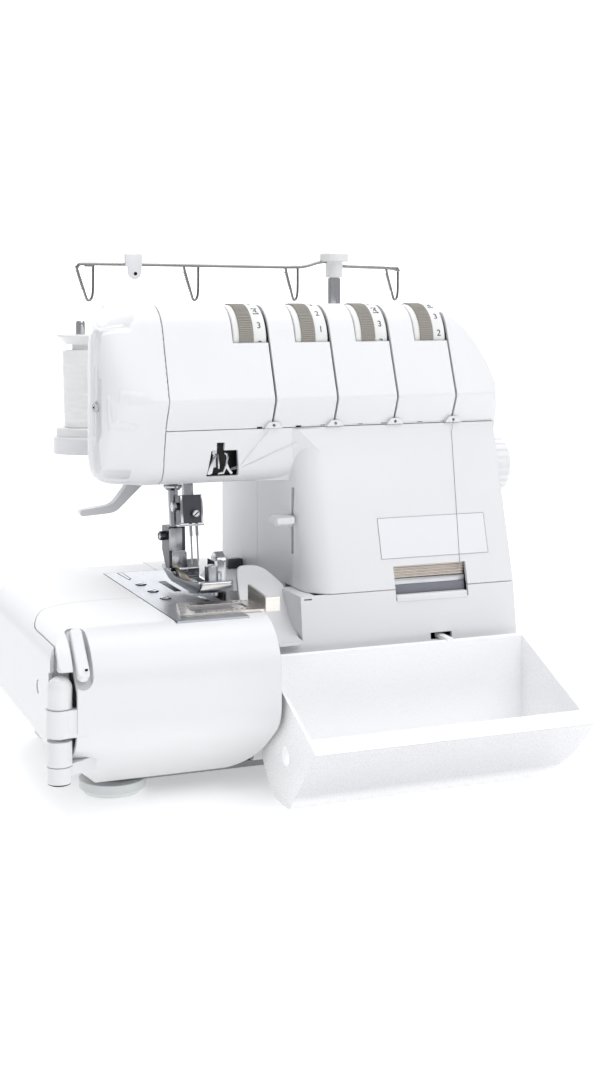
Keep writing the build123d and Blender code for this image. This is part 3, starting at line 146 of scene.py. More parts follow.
cast_metal = metal("cast_aluminium", (0.58, 0.59, 0.60), 0.55, scale=900, depth=0.00006)
dress(cast_metal, "cast_frame")
dress(moulded("grey_paint", (0.30, 0.31, 0.32), 0.5, grain=700, depth=0.00002), "base_pan", "motor")

# Drive: shafts, crank, link and bushings inside the covers.
# Ground steel runs in sintered bronze; black rubber belts join the pulleys.
# Only the handwheel's end of the main shaft reaches outside.
ground_steel = metal("ground_steel", (0.62, 0.62, 0.64), 0.24, stretch=(1, 1, 0.08))
dress(ground_steel, "main_shaft", "upper_shaft", "lower_shaft", "motor_shaft")
dress(ground_steel, "tension_spindle", "needle_link")
dress(metal("sintered_bronze", (0.60, 0.42, 0.20), 0.5, scale=1500), "shaft_bushings")
belt_rubber = moulded("belt_rubber", (0.02, 0.02, 0.02), 0.7, grain=900, depth=0.00004)
dress(belt_rubber, "timing_belts", "motor_belt")

# Feet: soft pale discs pressed under the pan, a little translucent.
# They are moulded from clear-grey vinyl.
# The machine's weight stands on all four.


def adjust(finish, sockets):
    shader = finish.node_tree.nodes["Principled BSDF"]
    for socket, value in sockets.items():
        shader.inputs[socket].default_value = value


soft_foot = moulded("pale_vinyl", (0.80, 0.83, 0.83), 0.32, grain=500)
adjust(soft_foot, {"Subsurface Weight": 0.3, "Subsurface Scale": 0.004})
dress(soft_foot, "rubber_feet")

# Covers: white injection mouldings that meet at fine seams all round the casting.
# Smooth satin-gloss plastic with softly broken edges.
# Each is screwed to the frame from inside or from the back.
white_shell = moulded("white_shell", (0.80, 0.80, 0.81), 0.34)
dress(white_shell, "side_cover", "bed_cover", "rear_cover", "front_cover", "face_cover", "tension_cover")
dress(white_shell, "looper_cover", "cloth_plate_door", "stand_plate", "presser_lifter", "column_lever")
white_knob = moulded("white_knob", (0.80, 0.80, 0.81), 0.36)
dress(white_knob, "release_button", "handwheel", "stitch_dial", "thread_guides")
satin_black = moulded("satin_black", (0.012, 0.012, 0.013), 0.38)
dress(satin_black, "take_up_pocket", "power_switch", "power_inlet")

# Blank name panel: a thin white plate stuck on the leaning front of the column.
# Printed foil with a fine grey border line and nothing on it.
# It is punched from sheet and lies flat on the cover.


def fresh(name):
    bpy.ops.object.select_all(action="DESELECT")
    bpy.ops.mesh.primitive_plane_add(size=0.001)
    piece = bpy.context.object
    piece.name = name
    bpy.ops.object.mode_set(mode="EDIT")
    bpy.ops.mesh.select_mode(type="VERT")
    bpy.ops.mesh.select_all(action="SELECT")
    bpy.ops.mesh.merge(type="CENTER")
    return piece


def draw(points):
    bpy.ops.transform.translate(value=points[0])
    for last, new in zip(points, points[1:]):
        step = [b - a for a, b in zip(last, new)]
        bpy.ops.mesh.extrude_vertices_move(TRANSFORM_OT_translate={"value": step})


def close_up():
    bpy.ops.mesh.select_all(action="SELECT")
    bpy.ops.mesh.remove_doubles(threshold=0.000002)
    bpy.ops.mesh.normals_make_consistent(inside=False)
    bpy.ops.object.mode_set(mode="OBJECT")


def mm(*sizes):
    return [size / 1000 for size in sizes]


def cut_plate(name, points, thickness, edge=0.0):
    # A flat piece with this outline in its own x and y, standing up by its thickness
    piece = fresh(name)
    draw([(*mm(x, y), 0) for x, y in points])
    bpy.ops.mesh.select_all(action="SELECT")
    bpy.ops.mesh.edge_face_add()
    bpy.ops.mesh.extrude_region_move(TRANSFORM_OT_translate={"value": (0, 0, thickness / 1000)})
    close_up()
    if edge:
        soften(piece, edge)
    return piece


def soften(piece, edge, segments=2):
    soft = piece.modifiers.new("soft_edge", "BEVEL")
    soft.width = edge / 1000
    soft.segments = segments
    soft.limit_method = "ANGLE"
    soft.angle_limit = math.radians(40)
    bpy.context.view_layer.objects.active = piece
    bpy.ops.object.modifier_apply(modifier=soft.name)


plate_low, plate_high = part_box("needle_plate")
plate_left = 77.0
plate_back = 190.0
bench_x = plate_low[0] - plate_left / 1000
bench_y = plate_high[1] - plate_back / 1000


def at(x, y, z):
    # A place on the bench drawing, in millimetres from the left face, the front door and the table
    return (bench_x + x / 1000, bench_y + y / 1000, z / 1000)


def take(piece):
    # Selects this piece alone and works on it
    bpy.ops.object.select_all(action="DESELECT")
    piece.select_set(True)
    bpy.context.view_layer.objects.active = piece


def hand_over(piece, finish, body):
    piece.data.materials.clear()
    piece.data.materials.append(finish)
    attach(piece, body)


def seat(piece, finish, body, place=(0, 0, 0), turn=(0, 0, 0), smooth=35):
    # Fixes a piece at its place and turn on the bench drawing, and smooths edges under this angle
    piece.location = at(*place)
    piece.rotation_euler = [math.radians(angle) for angle in turn]
    take(piece)
    bpy.ops.object.transform_apply(location=True, rotation=True, scale=True)
    bpy.ops.object.shade_smooth_by_angle(angle=math.radians(smooth))
    hand_over(piece, finish, body)
    return piece


def rectangle(left, low, right, high):
    return [(left, low), (right, low), (right, high), (left, high)]


def join(name, pieces):
    bpy.ops.object.select_all(action="DESELECT")
    for piece in pieces:
        piece.select_set(True)
    bpy.context.view_layer.objects.active = pieces[0]
    bpy.ops.object.join()
    pieces[0].name = name
    return pieces[0]


column_lean = 15.39
panel_w = 76.0
panel_h = 26.0
panel_t = 0.12
panel_place = (222.5, 59.05, 129.6)
panel_turn = (90 - column_lean, 0, 0)
border_line = 0.3
border_t = 0.16
border_grey = moulded("border_grey", (0.42, 0.42, 0.44), 0.5)
panel_white = moulded("panel_white", (0.84, 0.84, 0.86), 0.22, grain=2400)
corners = rectangle(0, 0, panel_w, panel_h)
inner = rectangle(border_line, border_line, panel_w - border_line, panel_h - border_line)
panel = cut_plate("name_panel", corners, panel_t)
seat(panel, panel_white, "body", panel_place, panel_turn)
strips = []
for side in range(4):
    after = (side + 1) % 4
    outline = [corners[side], corners[after], inner[after], inner[side]]
    strips.append(cut_plate("strip", outline, border_t))
border = join("name_panel_border", strips)
seat(border, border_grey, "body", panel_place, panel_turn)

# Face cover: the head's left end, one white moulding with a broad soft rounding.
# Satin plastic like its neighbours.
# It is held by one screw from the left.
round_voxel = 1.5
round_passes = 160
round_right = at(76, 0, 0)[0]


def pick(piece, test):
    # Selects the faces whose middle and normal pass the test, and stays in edit mode
    bpy.ops.object.mode_set(mode="EDIT")
    bpy.ops.mesh.select_mode(type="FACE")
    bpy.ops.mesh.select_all(action="DESELECT")
    bpy.ops.object.mode_set(mode="OBJECT")
    for face in piece.data.polygons:
        face.select = bool(test(face.center, face.normal))
    bpy.ops.object.mode_set(mode="EDIT")


def is_end(middle, normal):
    return middle.x < round_right


face = bpy.data.objects.new("face_shell", node["face_cover"].data.copy())
bpy.context.collection.objects.link(face)
take(face)
bpy.ops.object.mode_set(mode="EDIT")
bpy.ops.mesh.select_all(action="SELECT")
bpy.ops.mesh.remove_doubles(threshold=0.000002)
bpy.ops.object.mode_set(mode="OBJECT")
face.data.remesh_voxel_size = round_voxel / 1000
bpy.ops.object.voxel_remesh()
pick(face, is_end)
bpy.ops.mesh.vertices_smooth(factor=0.5, repeat=round_passes)
bpy.ops.object.mode_set(mode="OBJECT")
bpy.ops.object.shade_smooth_by_angle(angle=math.radians(40))
hand_over(face, white_shell, "body")
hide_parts("face_cover")

# Waste tray: thin milky moulding hooked on the looper cover by its tab.
# Milky white plastic with a faint painted glow all over, standing in for light coming through it.
# It slides straight off to the front.
milky = moulded("milky_tray_glow_and_shade", (0.86, 0.86, 0.875), 0.28)
# Painted light: a faint glow over the whole tray.
adjust(milky, {"Emission Color": (1, 1, 1, 1), "Emission Strength": 0.07})
dress(milky, "waste_tray")
# Colours for the painted shade on the tray's front wall.
tray_pale = (0.90, 0.90, 0.91)
tray_painted_shade = (0.64, 0.64, 0.655)
tray_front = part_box("waste_tray")[0][1]
deep_to = 0.030
pale_from = 0.040


def shade_front(finish, front_y, back_y, shade_colour, pale):
    # Painted shade: darker colour on faces turned to the front, in the front part of the tray
    nodes = finish.node_tree.nodes
    links = finish.node_tree.links
    surface = nodes.new("ShaderNodeNewGeometry")
    facing = nodes.new("ShaderNodeVectorMath")
    facing.operation = "DOT_PRODUCT"
    facing.inputs[1].default_value = (0, -1, 0)
    links.new(surface.outputs["Normal"], facing.inputs[0])
    place = nodes.new("ShaderNodeTexCoord")
    split = nodes.new("ShaderNodeSeparateXYZ")
    links.new(place.outputs["Object"], split.inputs["Vector"])
    near = nodes.new("ShaderNodeMapRange")
    near.inputs["From Min"].default_value = back_y
    near.inputs["From Max"].default_value = front_y
    links.new(split.outputs["Y"], near.inputs["Value"])
    both = nodes.new("ShaderNodeMath")
    both.operation = "MULTIPLY"
    links.new(facing.outputs["Value"], both.inputs[0])
    links.new(near.outputs["Result"], both.inputs[1])
    shader = nodes["Principled BSDF"]
    links.new(tint(finish, both.outputs["Value"], pale, shade_colour), shader.inputs["Base Color"])


shade_front(milky, tray_front + deep_to, tray_front + pale_from, tray_painted_shade, tray_pale)

# Plates: polished steel let into the bed, with fine lengthwise grinding marks.
# Stamped from strip, ground and screwed down from above.
polished = metal("polished_plate", (0.47, 0.49, 0.53), 0.30, stretch=(1, 0.05, 1), scale=1600, depth=4e-7)
dress(polished, "inlay_plate", "needle_plate")
dark_steel = metal("dark_steel", (0.105, 0.11, 0.12), 0.36, scale=1500, depth=0.000002)
# A near-black, nearly glossless finish. It is ink for printed marks, and painted shade in slots, slits,
# gaps, openings, rings round screw heads and along the plate's left edge.
shade_and_ink = moulded("ink_and_painted_shade", (0.02, 0.02, 0.024), 0.8)
adjust(shade_and_ink, {"Specular IOR Level": 0.05})
dress(ground_steel, "hinge_pin", "feed_dog", "lower_looper", "upper_looper", "cover_screws")
bed_top = plate_high[2] * 1000
inlay_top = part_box("inlay_plate")[1][2] * 1000
on_bed = (0, 0, bed_top)
mark_t = 0.06
slot_floor_t = 0.10
# The finger slot's dark rim is painted shade in the slot. The slot's floor is plain polished steel.
slot_shade_rim = [(85.4, 188.6), (89.4, 187.6), (89.0, 164.5), (86.4, 160.8)]
slot_floor = [(86.0, 187.6), (88.8, 186.8), (88.4, 165.6), (86.8, 163.0)]
seat(cut_plate("finger_slot", slot_shade_rim, mark_t), shade_and_ink, "body", on_bed)
seat(cut_plate("finger_slot_floor", slot_floor, slot_floor_t), polished, "body", on_bed)
edge_w = 0.6
edge_t = 0.08
edge_sunk = 0.02
# Dark strips along the plate's left edge: painted shadow of the plate's thickness.
for name, body, y0, y1 in (("back", "body", 102.4, plate_back), ("front", "door", 23.2, 101.9)):
    rim = rectangle(plate_left - edge_w, y0, plate_left, y1)
    shadow = cut_plate(f"plate_shadow_{name}", rim, edge_t)
    seat(shadow, shade_and_ink, body, (0, 0, bed_top - edge_sunk))


def side_plate(name, points, x, thickness, edge=0.0):
    # An upright plate whose outline is drawn in depth and height, standing from x to the right
    piece = cut_plate(name, points, thickness, edge)
    piece.rotation_euler = (math.pi / 2, 0, math.pi / 2)
    take(piece)
    bpy.ops.object.transform_apply(rotation=True)
    for vertex in piece.data.vertices:
        vertex.co.x += x / 1000
    return piece


def turned(name, profile, steps=64):
    # A round piece about its own x axis from points along the axis and out from it
    piece = fresh(name)
    draw([(*mm(along, out), 0) for along, out in profile])
    bpy.ops.mesh.select_all(action="SELECT")
    bpy.ops.mesh.spin(steps=steps, angle=2 * math.pi, center=(0, 0, 0), axis=(1, 0, 0))
    close_up()
    return piece


def slot_outline(length, width):
    return rectangle(-length / 2, -width / 2, length / 2, width / 2)


screw_r = 3.0
screw_t = 0.8
ring_in = screw_r + 0.05
ring_out = screw_r + 0.7
groove = slot_outline(4.6, 1.1)
ring_profile = [(0, ring_in), (0, ring_out), (0.1, ring_out), (0.1, ring_in), (0, ring_in)]
head_profile = [(0, 0), (0, screw_r), (0.5, screw_r), (screw_t, screw_r - 0.4), (screw_t, 0)]
plate_screws = {"1": (89.3, 142.5, "body"), "2": (90.2, 117.6, "body"), "3": (90.6, 91.8, "door")}
upright = (0, -90, 0)
slit_turn = (0, 0, 25)
head_gap = 0.03
slit_gap = 0.02
# Each screw gets a dark ring and a dark slit: painted shade in the gap round its head and in its slot.
for index, (x, y, body) in plate_screws.items():
    floor = bed_top if body == "body" else inlay_top
    ring = turned(f"plate_ring_{index}", ring_profile)
    seat(ring, shade_and_ink, body, (x, y, floor), upright)
    head = turned(f"plate_screw_head_{index}", head_profile)
    seat(head, ground_steel, body, (x, y, floor + head_gap), upright)
    slit = cut_plate(f"plate_screw_slot_{index}", groove, mark_t)
    seat(slit, shade_and_ink, body, (x, y, floor + screw_t + slit_gap), slit_turn)

# Bed: the floor of the chute beside the plates, and the steel block behind the foot.
# White plastic and blued steel; the block is screwed down from below.
chute_z = 102.2
chute_t = 1.2
chute_plan = [(121.7, 39), (135.4, 39), (135.4, 100.1), (133.5, 100.1), (133.5, 96), (121.7, 96)]
chute = cut_plate("chute_floor", chute_plan, chute_t, edge=0.3)
seat(chute, white_shell, "body", (0, 0, chute_z))
block_x = 161
block_w = 10.5
block_cap_x = 163
block_cap_w = 6.5
block_foot = bed_top - 0.2
block_top = bed_top + 6.4
block_side = [(176, block_foot), (176, bed_top + 5.4), (177, block_top), (182, block_top),
              (183, bed_top + 5), (183, block_foot)]
block = side_plate("bed_block", block_side, block_x, block_w, edge=0.4)
seat(block, dark_steel, "body")
block_cap_side = rectangle(177.5, 0, 181.5, 0.5)
block_cap = side_plate("bed_block_top", block_cap_side, block_cap_x, block_cap_w, edge=0.15)
seat(block_cap, ground_steel, "body", (0, 0, block_top))

# Finger recess: the lining and strip under the looper guide, and the cover's sill.
# Grey moulding, a bright strip and white plastic, clipped in behind the opening.
guide_metal = metal("guide_bronze_steel", (0.55, 0.50, 0.45), 0.3, stretch=(0.05, 1, 1))
dress(guide_metal, "looper_guide")
lining_grey = moulded("lining_grey", (0.20, 0.205, 0.24), 0.45)
satin_nickel = metal("satin_nickel", (0.62, 0.63, 0.64), 0.36, scale=1200, depth=0.000002)
recess_x = 230.6
recess_w = 50.0
sill_gap = 0.6
strip_side = rectangle(58.4, 113.2, 59.2, 116.8)
lining_side = [(57.4, 104.0), (59.2, 104.0), (59.2, 113.2), (58.6, 113.2)]
sill_side = [(52.4, 103.2), (53.2, 107.4), (57.2, 107.4), (57.2, 103.2)]
strip = side_plate("guide_strip", strip_side, recess_x, recess_w, edge=0.2)
seat(strip, satin_nickel, "body")
lining = side_plate("recess_lining", lining_side, recess_x, recess_w, edge=0.2)
seat(lining, lining_grey, "body")
sill = side_plate("recess_sill", sill_side, recess_x, recess_w - sill_gap, edge=0.4)
seat(sill, white_shell, "front_flap")

# Seam guide: graduated steel fork screwed on the front plate.
# Bent from polished strip with a warm cast; fine dark and red marks are printed on both arms.
# Its bent-up end steers the cloth edge.
warm_steel = metal("warm_steel", (0.80, 0.765, 0.715), 0.26, stretch=(0.05, 1, 1), scale=1600, depth=5e-7)
dress(warm_steel, "seam_guide")
red_mark = moulded("red_mark", (0.35, 0.03, 0.03), 0.5)
tick_pitch = 3.2
tick_count = 12
tick_outline = rectangle(0, 0, 0.6, 2.4)
tick_turn = (0, 0, -18)
fork_t = 1.6
fork_top = inlay_top + fork_t
for row, (tick_y, first) in enumerate(((36.2, 92.0), (58.4, 96.0))):
    for index in range(tick_count):
        x = first + index * tick_pitch
        tick = cut_plate(f"guide_tick_{row}_{index}", tick_outline, mark_t)
        finish = red_mark if index % 2 else shade_and_ink
        seat(tick, finish, "guide_fork", (x, tick_y, fork_top), tick_turn)

# Presser bar, holder and foot: plated steel, leaning back eight degrees.
# The foot is a polished sled pinned in its holder, which is screwed to the bar.
# The bar slides in the casting's guides.
bright_steel = metal("bright_steel", (0.55, 0.56, 0.58), 0.16, stretch=(1, 1, 0.1), scale=800, depth=2e-6)
dress(bright_steel, "presser_bar", "presser_foot", "needle_bar", "needles")
dress(dark_steel, "foot_holder")
skid_grey = metal("skid_grey", (0.19, 0.20, 0.215), 0.3, stretch=(1, 0.1, 1), scale=900, depth=0.000002)
brass_leaf = metal("brass_leaf", (0.50, 0.43, 0.31), 0.32, stretch=(1, 0.1, 1), scale=900)
collar_profile = [(0, 3.3), (0, 5.6), (0.5, 6.1), (1.6, 6.1), (2.1, 5.6), (3.4, 4.6), (3.4, 3.3)]
collar = turned("presser_collar", collar_profile)
seat(collar, bright_steel, "presser_unit", (108.5, 135.4, 173.4), (0, 90, 0))
skid_side = [(65.4, 120.6), (67.4, 116.8), (71.5, 114.4), (78, 113.05), (124, 113.05), (131, 113.9),
             (140.6, 117.2), (141, 118.6), (139.4, 119.2), (128, 117.6), (112, 117.2), (90, 118.6),
             (74, 120.4)]
skid_x = 104.3
skid_w = 0.75
skid = side_plate("foot_skid", skid_side, skid_x, skid_w, edge=0.2)
seat(skid, skid_grey, "presser_unit")
leaf_l = 34.5
leaf_t = 0.6
leaf = cut_plate("foot_leaf", [(0, 0), (3.0, 0), (3.4, leaf_l), (0.4, leaf_l)], leaf_t, edge=0.15)
seat(leaf, brass_leaf, "presser_unit", (105.3, 88.5, 117.0), (6.4, 0, 0))
rail_side = [(100, 116.0), (116, 116.0), (116, 119.0), (112, 119.0), (110.5, 117.6), (100, 117.6)]
rail_x = 106.6
rail_w = 2.6
rail = side_plate("foot_rail", rail_side, rail_x, rail_w, edge=0.3)
seat(rail, ground_steel, "presser_unit")
upper_front = [(103.1, 132.4), (111.7, 132.4), (111.7, 146.6), (104.0, 146.9), (103.1, 146.0)]
lower_front = [(104.4, 121.2), (114.0, 121.2), (114.0, 131.2), (112.2, 132.6), (104.4, 132.6)]
mouth = rectangle(103.4, 119.4, 107.6, 121.9)
tower = [(117.4, 115.6), (123.3, 115.6), (123.3, 126.4), (122.2, 127.6), (118.8, 127.2), (117.4, 125.8)]
guard_front = [(122.9, 115.4), (128.0, 115.4), (128.0, 127.6), (127.2, 130.2), (125.4, 131.3),
               (123.0, 131.3)]
upright_plates = {
    "holder_front": (upper_front, 126.2, 1.7, satin_nickel),
    "holder_step": (lower_front, 125.8, 3.8, ground_steel),
    # The mouth is a dark plate: painted shade in the holder's opening.
    "holder_mouth": (mouth, 123.0, 1.2, shade_and_ink),
    "foot_tower": (tower, 95.0, 7.0, satin_nickel),
    "foot_guard": (guard_front, 88.2, 1.2, bright_steel),
}
facing_front = (90, 0, 0)
for name, (points, y, thickness, finish) in upright_plates.items():
    piece = cut_plate(name, points, thickness, edge=0.35)
    seat(piece, finish, "presser_unit", (0, y, 0), facing_front)
tower_side = [(88.5, 116.0), (94.5, 116.0), (94.5, 126.4), (90, 126.4), (88.5, 125.0)]
tower_x = 116.9
tower_t = 0.5
tower_plate = side_plate("foot_tower_side", tower_side, tower_x, tower_t, edge=0.15)
seat(tower_plate, dark_steel, "presser_unit")
slit_t = 0.08
cheek_head = [(0, 0), (0, 2.2), (0.4, 2.9), (1.0, 3.1), (1.0, 0)]
holder_screw = turned("holder_screw", cheek_head, steps=32)
seat(holder_screw, bright_steel, "presser_unit", (98.2, 133, 141))
# The screw's slot is a flat dark plate: painted shade in the slot.
holder_slit = cut_plate("holder_screw_slot", slot_outline(4.0, 0.8), slit_t)
seat(holder_slit, shade_and_ink, "presser_unit", (98.16, 133, 141), (50, 90, 0))
tongue_t = 0.3
tongue_plan = [(110.6, 70), (113.6, 70), (114.2, 90), (110.6, 90)]
tongue = cut_plate("plate_tongue", tongue_plan, tongue_t, edge=0.1)
seat(tongue, bright_steel, "door", (0, 0, inlay_top + slit_gap))

# Needle clamp: a dark steel block at the foot of the needle bar.
# Milled, blued and held by two bright screws; both needles stand in it.
dress(dark_steel, "needle_clamp")
lean = 8.0
clamp_front = (0, 108.5, 160.72)
clamp_turn = (90 - lean, 0, 0)
clamp_edge_t = 0.5
clamp_base_t = 1.3
for name, x, w in (("left", 105.4, 1.7), ("right", 119.0, 1.4)):
    outline = [(x, -8.6), (x + w, -8.6), (x + w - 0.3, 8.8), (x, 8.8)]
    bright_edge = cut_plate(f"clamp_edge_{name}", outline, clamp_edge_t, edge=0.15)
    seat(bright_edge, bright_steel, "needle_unit", clamp_front, clamp_turn)
base = cut_plate("clamp_base", rectangle(104.6, -6.0, 120.8, 4.0), clamp_base_t, edge=0.3)
seat(base, bright_steel, "needle_unit", (0, 112.3, 149.4), (-lean, 0, 0))
clamp_screw = turned("clamp_screw", [(0, 0), (0, 2.4), (0.5, 2.4), (0.9, 1.9), (0.9, 0)], steps=32)
seat(clamp_screw, bright_steel, "needle_unit", (114.9, 105.5, 158.2), (0, 0, -90))
# The screw's slot is a flat dark plate: painted shade in the slot.
clamp_slit = cut_plate("clamp_screw_slot", slot_outline(3.6, 0.7), slit_t)
seat(clamp_slit, shade_and_ink, "needle_unit", (114.9, 104.6, 158.2), (90, -40, 0))
hex_profile = [(0, 0), (0, 3.1), (0.5, 3.6), (2.4, 3.6), (2.8, 3.1), (2.8, 0)]
hex_head = turned("clamp_hex", hex_profile, steps=6)
seat(hex_head, bright_steel, "needle_unit", (101.4, 114.1, 162.0), smooth=20)

# Knives: hardened steel, ground bright on the cutting faces.
# The upper one is clamped on its rocking arm beside the foot.
dress(bright_steel, "upper_knife", "lower_knife")

# Take-up: hooks and a guard plate in the black pocket of the front cover.
# Stamped from spring steel and chromed.
# The plates are riveted to the pocket; the lever swings behind them.
dress(bright_steel, "take_up_lever")
spring_t = 0.8
guard = [(119.0, 183.8), (117.6, 184.2), (119.5, 190), (121.5, 194.5), (123.2, 196.2), (124.0, 195.4),
         (122.6, 192), (121.8, 188), (121.0, 184.6)]
finger = [(124.6, 196.5), (125.6, 196.2), (126.3, 190), (126.2, 187.2), (125.2, 187.4), (125.1, 191)]
hook = [(129.0, 197.8), (131.2, 197.0), (131.8, 194.5), (131.0, 191.0), (132.2, 188.0), (134.6, 184.6),
        (133.2, 183.6), (130.2, 187.6), (128.6, 184.2), (124.5, 184.0), (124.6, 185.0), (127.8, 185.6),
        (129.6, 190.6), (130.4, 194.2), (130.0, 196.0), (128.9, 196.6)]
for name, points, depth in (("guard", guard, 92.4), ("finger", finger, 93.4), ("hook", hook, 92.0)):
    piece = cut_plate(f"take_up_{name}", points, spring_t, edge=0.2)
    seat(piece, bright_steel, "body", (0, depth, 0), facing_front)

# Tension dials: each a white wheel with a warm grey ribbed grip and a number ring.
# Moulded in two colours and turning on the common spindle.
# Plain numbers run round the right-hand ring.
dial_white = moulded("dial_white", (0.80, 0.80, 0.79), 0.4)
grip_grey = moulded("grip_grey", (0.36, 0.335, 0.30), 0.5, grain=1800)
ink = moulded("number_ink", (0.03, 0.03, 0.035), 0.55)
dial_flange_r = 23.0
dial_grip_r = 24.0
dial_ring_r = 23.2
dial_flange = 4.0
dial_grip = 9.4
dial_ring = 8.8
dial_w = dial_flange + dial_grip + dial_ring
spindle_r = 3.1
rib_count = 120
rib_proud = 0.35
rib_root_r = 23.3
number_step = 30
number_h = 4.4
type_scale = 1.35
ink_t = 0.09
bracket_step = 8.0
shown = {1: (3, 26.0), 2: (1, 18.5), 3: (3, 27.0), 4: (2, 10.5)}
wheel_profile = [
    (0, spindle_r), (0, dial_flange_r - 0.6), (0.6, dial_flange_r), (dial_flange, dial_flange_r),
    (dial_flange, dial_flange_r - 1), (dial_flange + dial_grip, dial_flange_r - 1),
    (dial_flange + dial_grip, dial_ring_r), (dial_w - 0.6, dial_ring_r), (dial_w, dial_ring_r - 0.6),
    (dial_w, 15), (dial_w - 1.5, 14), (dial_w - 1.5, spindle_r), (0, spindle_r),
]
grip_profile = [
    (0, dial_flange_r - 1.2), (0, dial_grip_r - rib_proud), (dial_grip, dial_grip_r - rib_proud),
    (dial_grip, dial_flange_r - 1.2), (0, dial_flange_r - 1.2),
]
bracket = [(-1.9, 0), (1.9, 0), (1.9, 1.4), (1.3, 1.4), (1.3, 0.7), (-1.3, 0.7), (-1.3, 1.4), (-1.9, 1.4)]


def on_ring(piece, x, y, z, angle):
    # Turns a flat mark to face out of the ring at this angle above level
    level = math.radians(angle)
    piece.rotation_euler = (math.radians(90 - angle), 0, 0)
    piece.location = (x, y - dial_ring_r / 1000 * math.cos(level), z + dial_ring_r / 1000 * math.sin(level))
    take(piece)
    bpy.ops.object.transform_apply(location=True, rotation=True, scale=True)


def number_mark(text, size):
    bpy.ops.object.select_all(action="DESELECT")
    bpy.ops.object.text_add()
    mark = bpy.context.object
    mark.data.body = text
    mark.data.size = size / 1000
    mark.data.extrude = ink_t / 1000
    mark.data.resolution_u = 4
    mark.data.align_x = "CENTER"
    mark.data.align_y = "CENTER"
    bpy.ops.object.convert(target="MESH")
    return bpy.context.object


def is_rib(middle, normal):
    out = math.hypot(normal.y, normal.z)
    turn = math.atan2(middle.z, middle.y) / math.pi * rib_count
    outside = math.hypot(middle.y, middle.z) > rib_root_r / 1000
    return out > 0.9 and outside and math.floor(turn) % 2 == 0


for index in range(1, 5):
    low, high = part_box(f"tension_dial_{index}")
    left = (low[0] - bench_x) * 1000
    dial_y = ((low[1] + high[1]) / 2 - bench_y) * 1000
    dial_z = (low[2] + high[2]) / 2 * 1000
    wheel = turned(f"dial_wheel_{index}", wheel_profile, steps=96)
    seat(wheel, dial_white, f"dial_{index}", (left, dial_y, dial_z))
    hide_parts(f"tension_dial_{index}")
    grip = turned(f"dial_grip_{index}", grip_profile, steps=2 * rib_count)
    pick(grip, is_rib)
    bpy.ops.mesh.extrude_faces_move(TRANSFORM_OT_shrink_fatten={"value": rib_proud / 1000})
    bpy.ops.object.mode_set(mode="OBJECT")
    seat(grip, grip_grey, f"dial_{index}", (left + dial_flange, dial_y, dial_z), smooth=20)
    ring_x = bench_x + (left + dial_w - dial_ring / 2) / 1000
    ring_y = low[1] / 2 + high[1] / 2
    first, angle = shown[index]
    marks = []
    for number in range(10):
        stand = angle + (number - first) * number_step
        mark = number_mark(str(number), number_h * type_scale)
        on_ring(mark, ring_x, ring_y, dial_z / 1000, stand)
        marks.append(mark)
        if number == 4:
            for side in (-1, 1):
                bar = cut_plate("bar", bracket, ink_t)
                if side > 0:
                    bar.rotation_euler = (0, 0, math.pi)
                    bpy.ops.object.transform_apply(rotation=True)
                on_ring(bar, ring_x, ring_y, dial_z / 1000, stand + side * bracket_step)
                marks.append(bar)
    numbers = join(f"dial_numbers_{index}", marks)
    hand_over(numbers, ink, f"dial_{index}")

# Needle and looper threads: fine polyester led over the front of the machine.
# Two white ends run from the first guides into the take-up window.
# A grey one drops down the column to the recess of the looper cover.
thread_white = moulded("thread_white", (0.86, 0.86, 0.85), 0.6)
thread_grey = moulded("thread_grey", (0.35, 0.35, 0.36), 0.6)


def strand(name, points, radius, kind="POLY"):
    # A thin round thread or wire led through these places, with smooth bends if its kind is NURBS
    line = bpy.data.curves.new(name, "CURVE")
    line.dimensions = "3D"
    line.bevel_depth = radius / 1000
    line.bevel_resolution = 2
    line.use_fill_caps = True
    route = line.splines.new(kind)
    route.points.add(len(points) - 1)
    for point, place in zip(route.points, points):
        point.co = (*at(*place), 1)
    if kind == "NURBS":
        route.order_u = 3
        route.use_endpoint_u = True
    piece = bpy.data.objects.new(name, line)
    bpy.context.collection.objects.link(piece)
    take(piece)
    bpy.ops.object.convert(target="MESH")
    return bpy.context.object


guide_front = 79.4
guide_z = 214.6
needle_thread_r = 0.16
looper_thread_r = 0.14
threads = {
    "needle_thread_1": [(157.9, guide_front, guide_z), (155.0, 81.0, 211.6), (138.6, 87.9, 189.6),
                        (133.5, 92.5, 187.2)],
    "needle_thread_2": [(199.9, guide_front, guide_z), (195.0, 81.4, 211.8), (139.9, 88.2, 188.4),
                        (133.0, 92.5, 186.4)],
}
for name, points in threads.items():
    hand_over(strand(name, points, needle_thread_r), thread_white, "body")
drop = [(283.9, guide_front, guide_z), (283.2, 79.6, 210.5), (282.6, 80.2, 207.0), (277.0, 57.4, 124.9),
        (275.6, 60.4, 118.0), (273.0, 62.4, 108.0)]
hand_over(strand("looper_thread", drop, looper_thread_r), thread_grey, "body")

# Thread stand: white holder discs and pins, wound spools and flared caps.
# Satin plastic with bright steel pin tips; the thread is wound polyester.
# The pins are screwed up through the stand plate.
stand_white = moulded("stand_white", (0.80, 0.80, 0.80), 0.4)
dress(stand_white, "spool_pins", "pole_rod")
thread_wound = moulded("wound_thread_glowing", (0.93, 0.93, 0.92), 0.75, grain=2600, depth=0.00003)
# Painted light: the thread glows faintly so the spools stay bright in the head's shade.
adjust(thread_wound, {"Emission Color": (1, 1, 1, 1), "Emission Strength": 0.12})
chrome = metal("chrome_tube", (0.62, 0.62, 0.63), 0.12, stretch=(1, 1, 0.04), scale=700)
dress(chrome, "pole_tube")


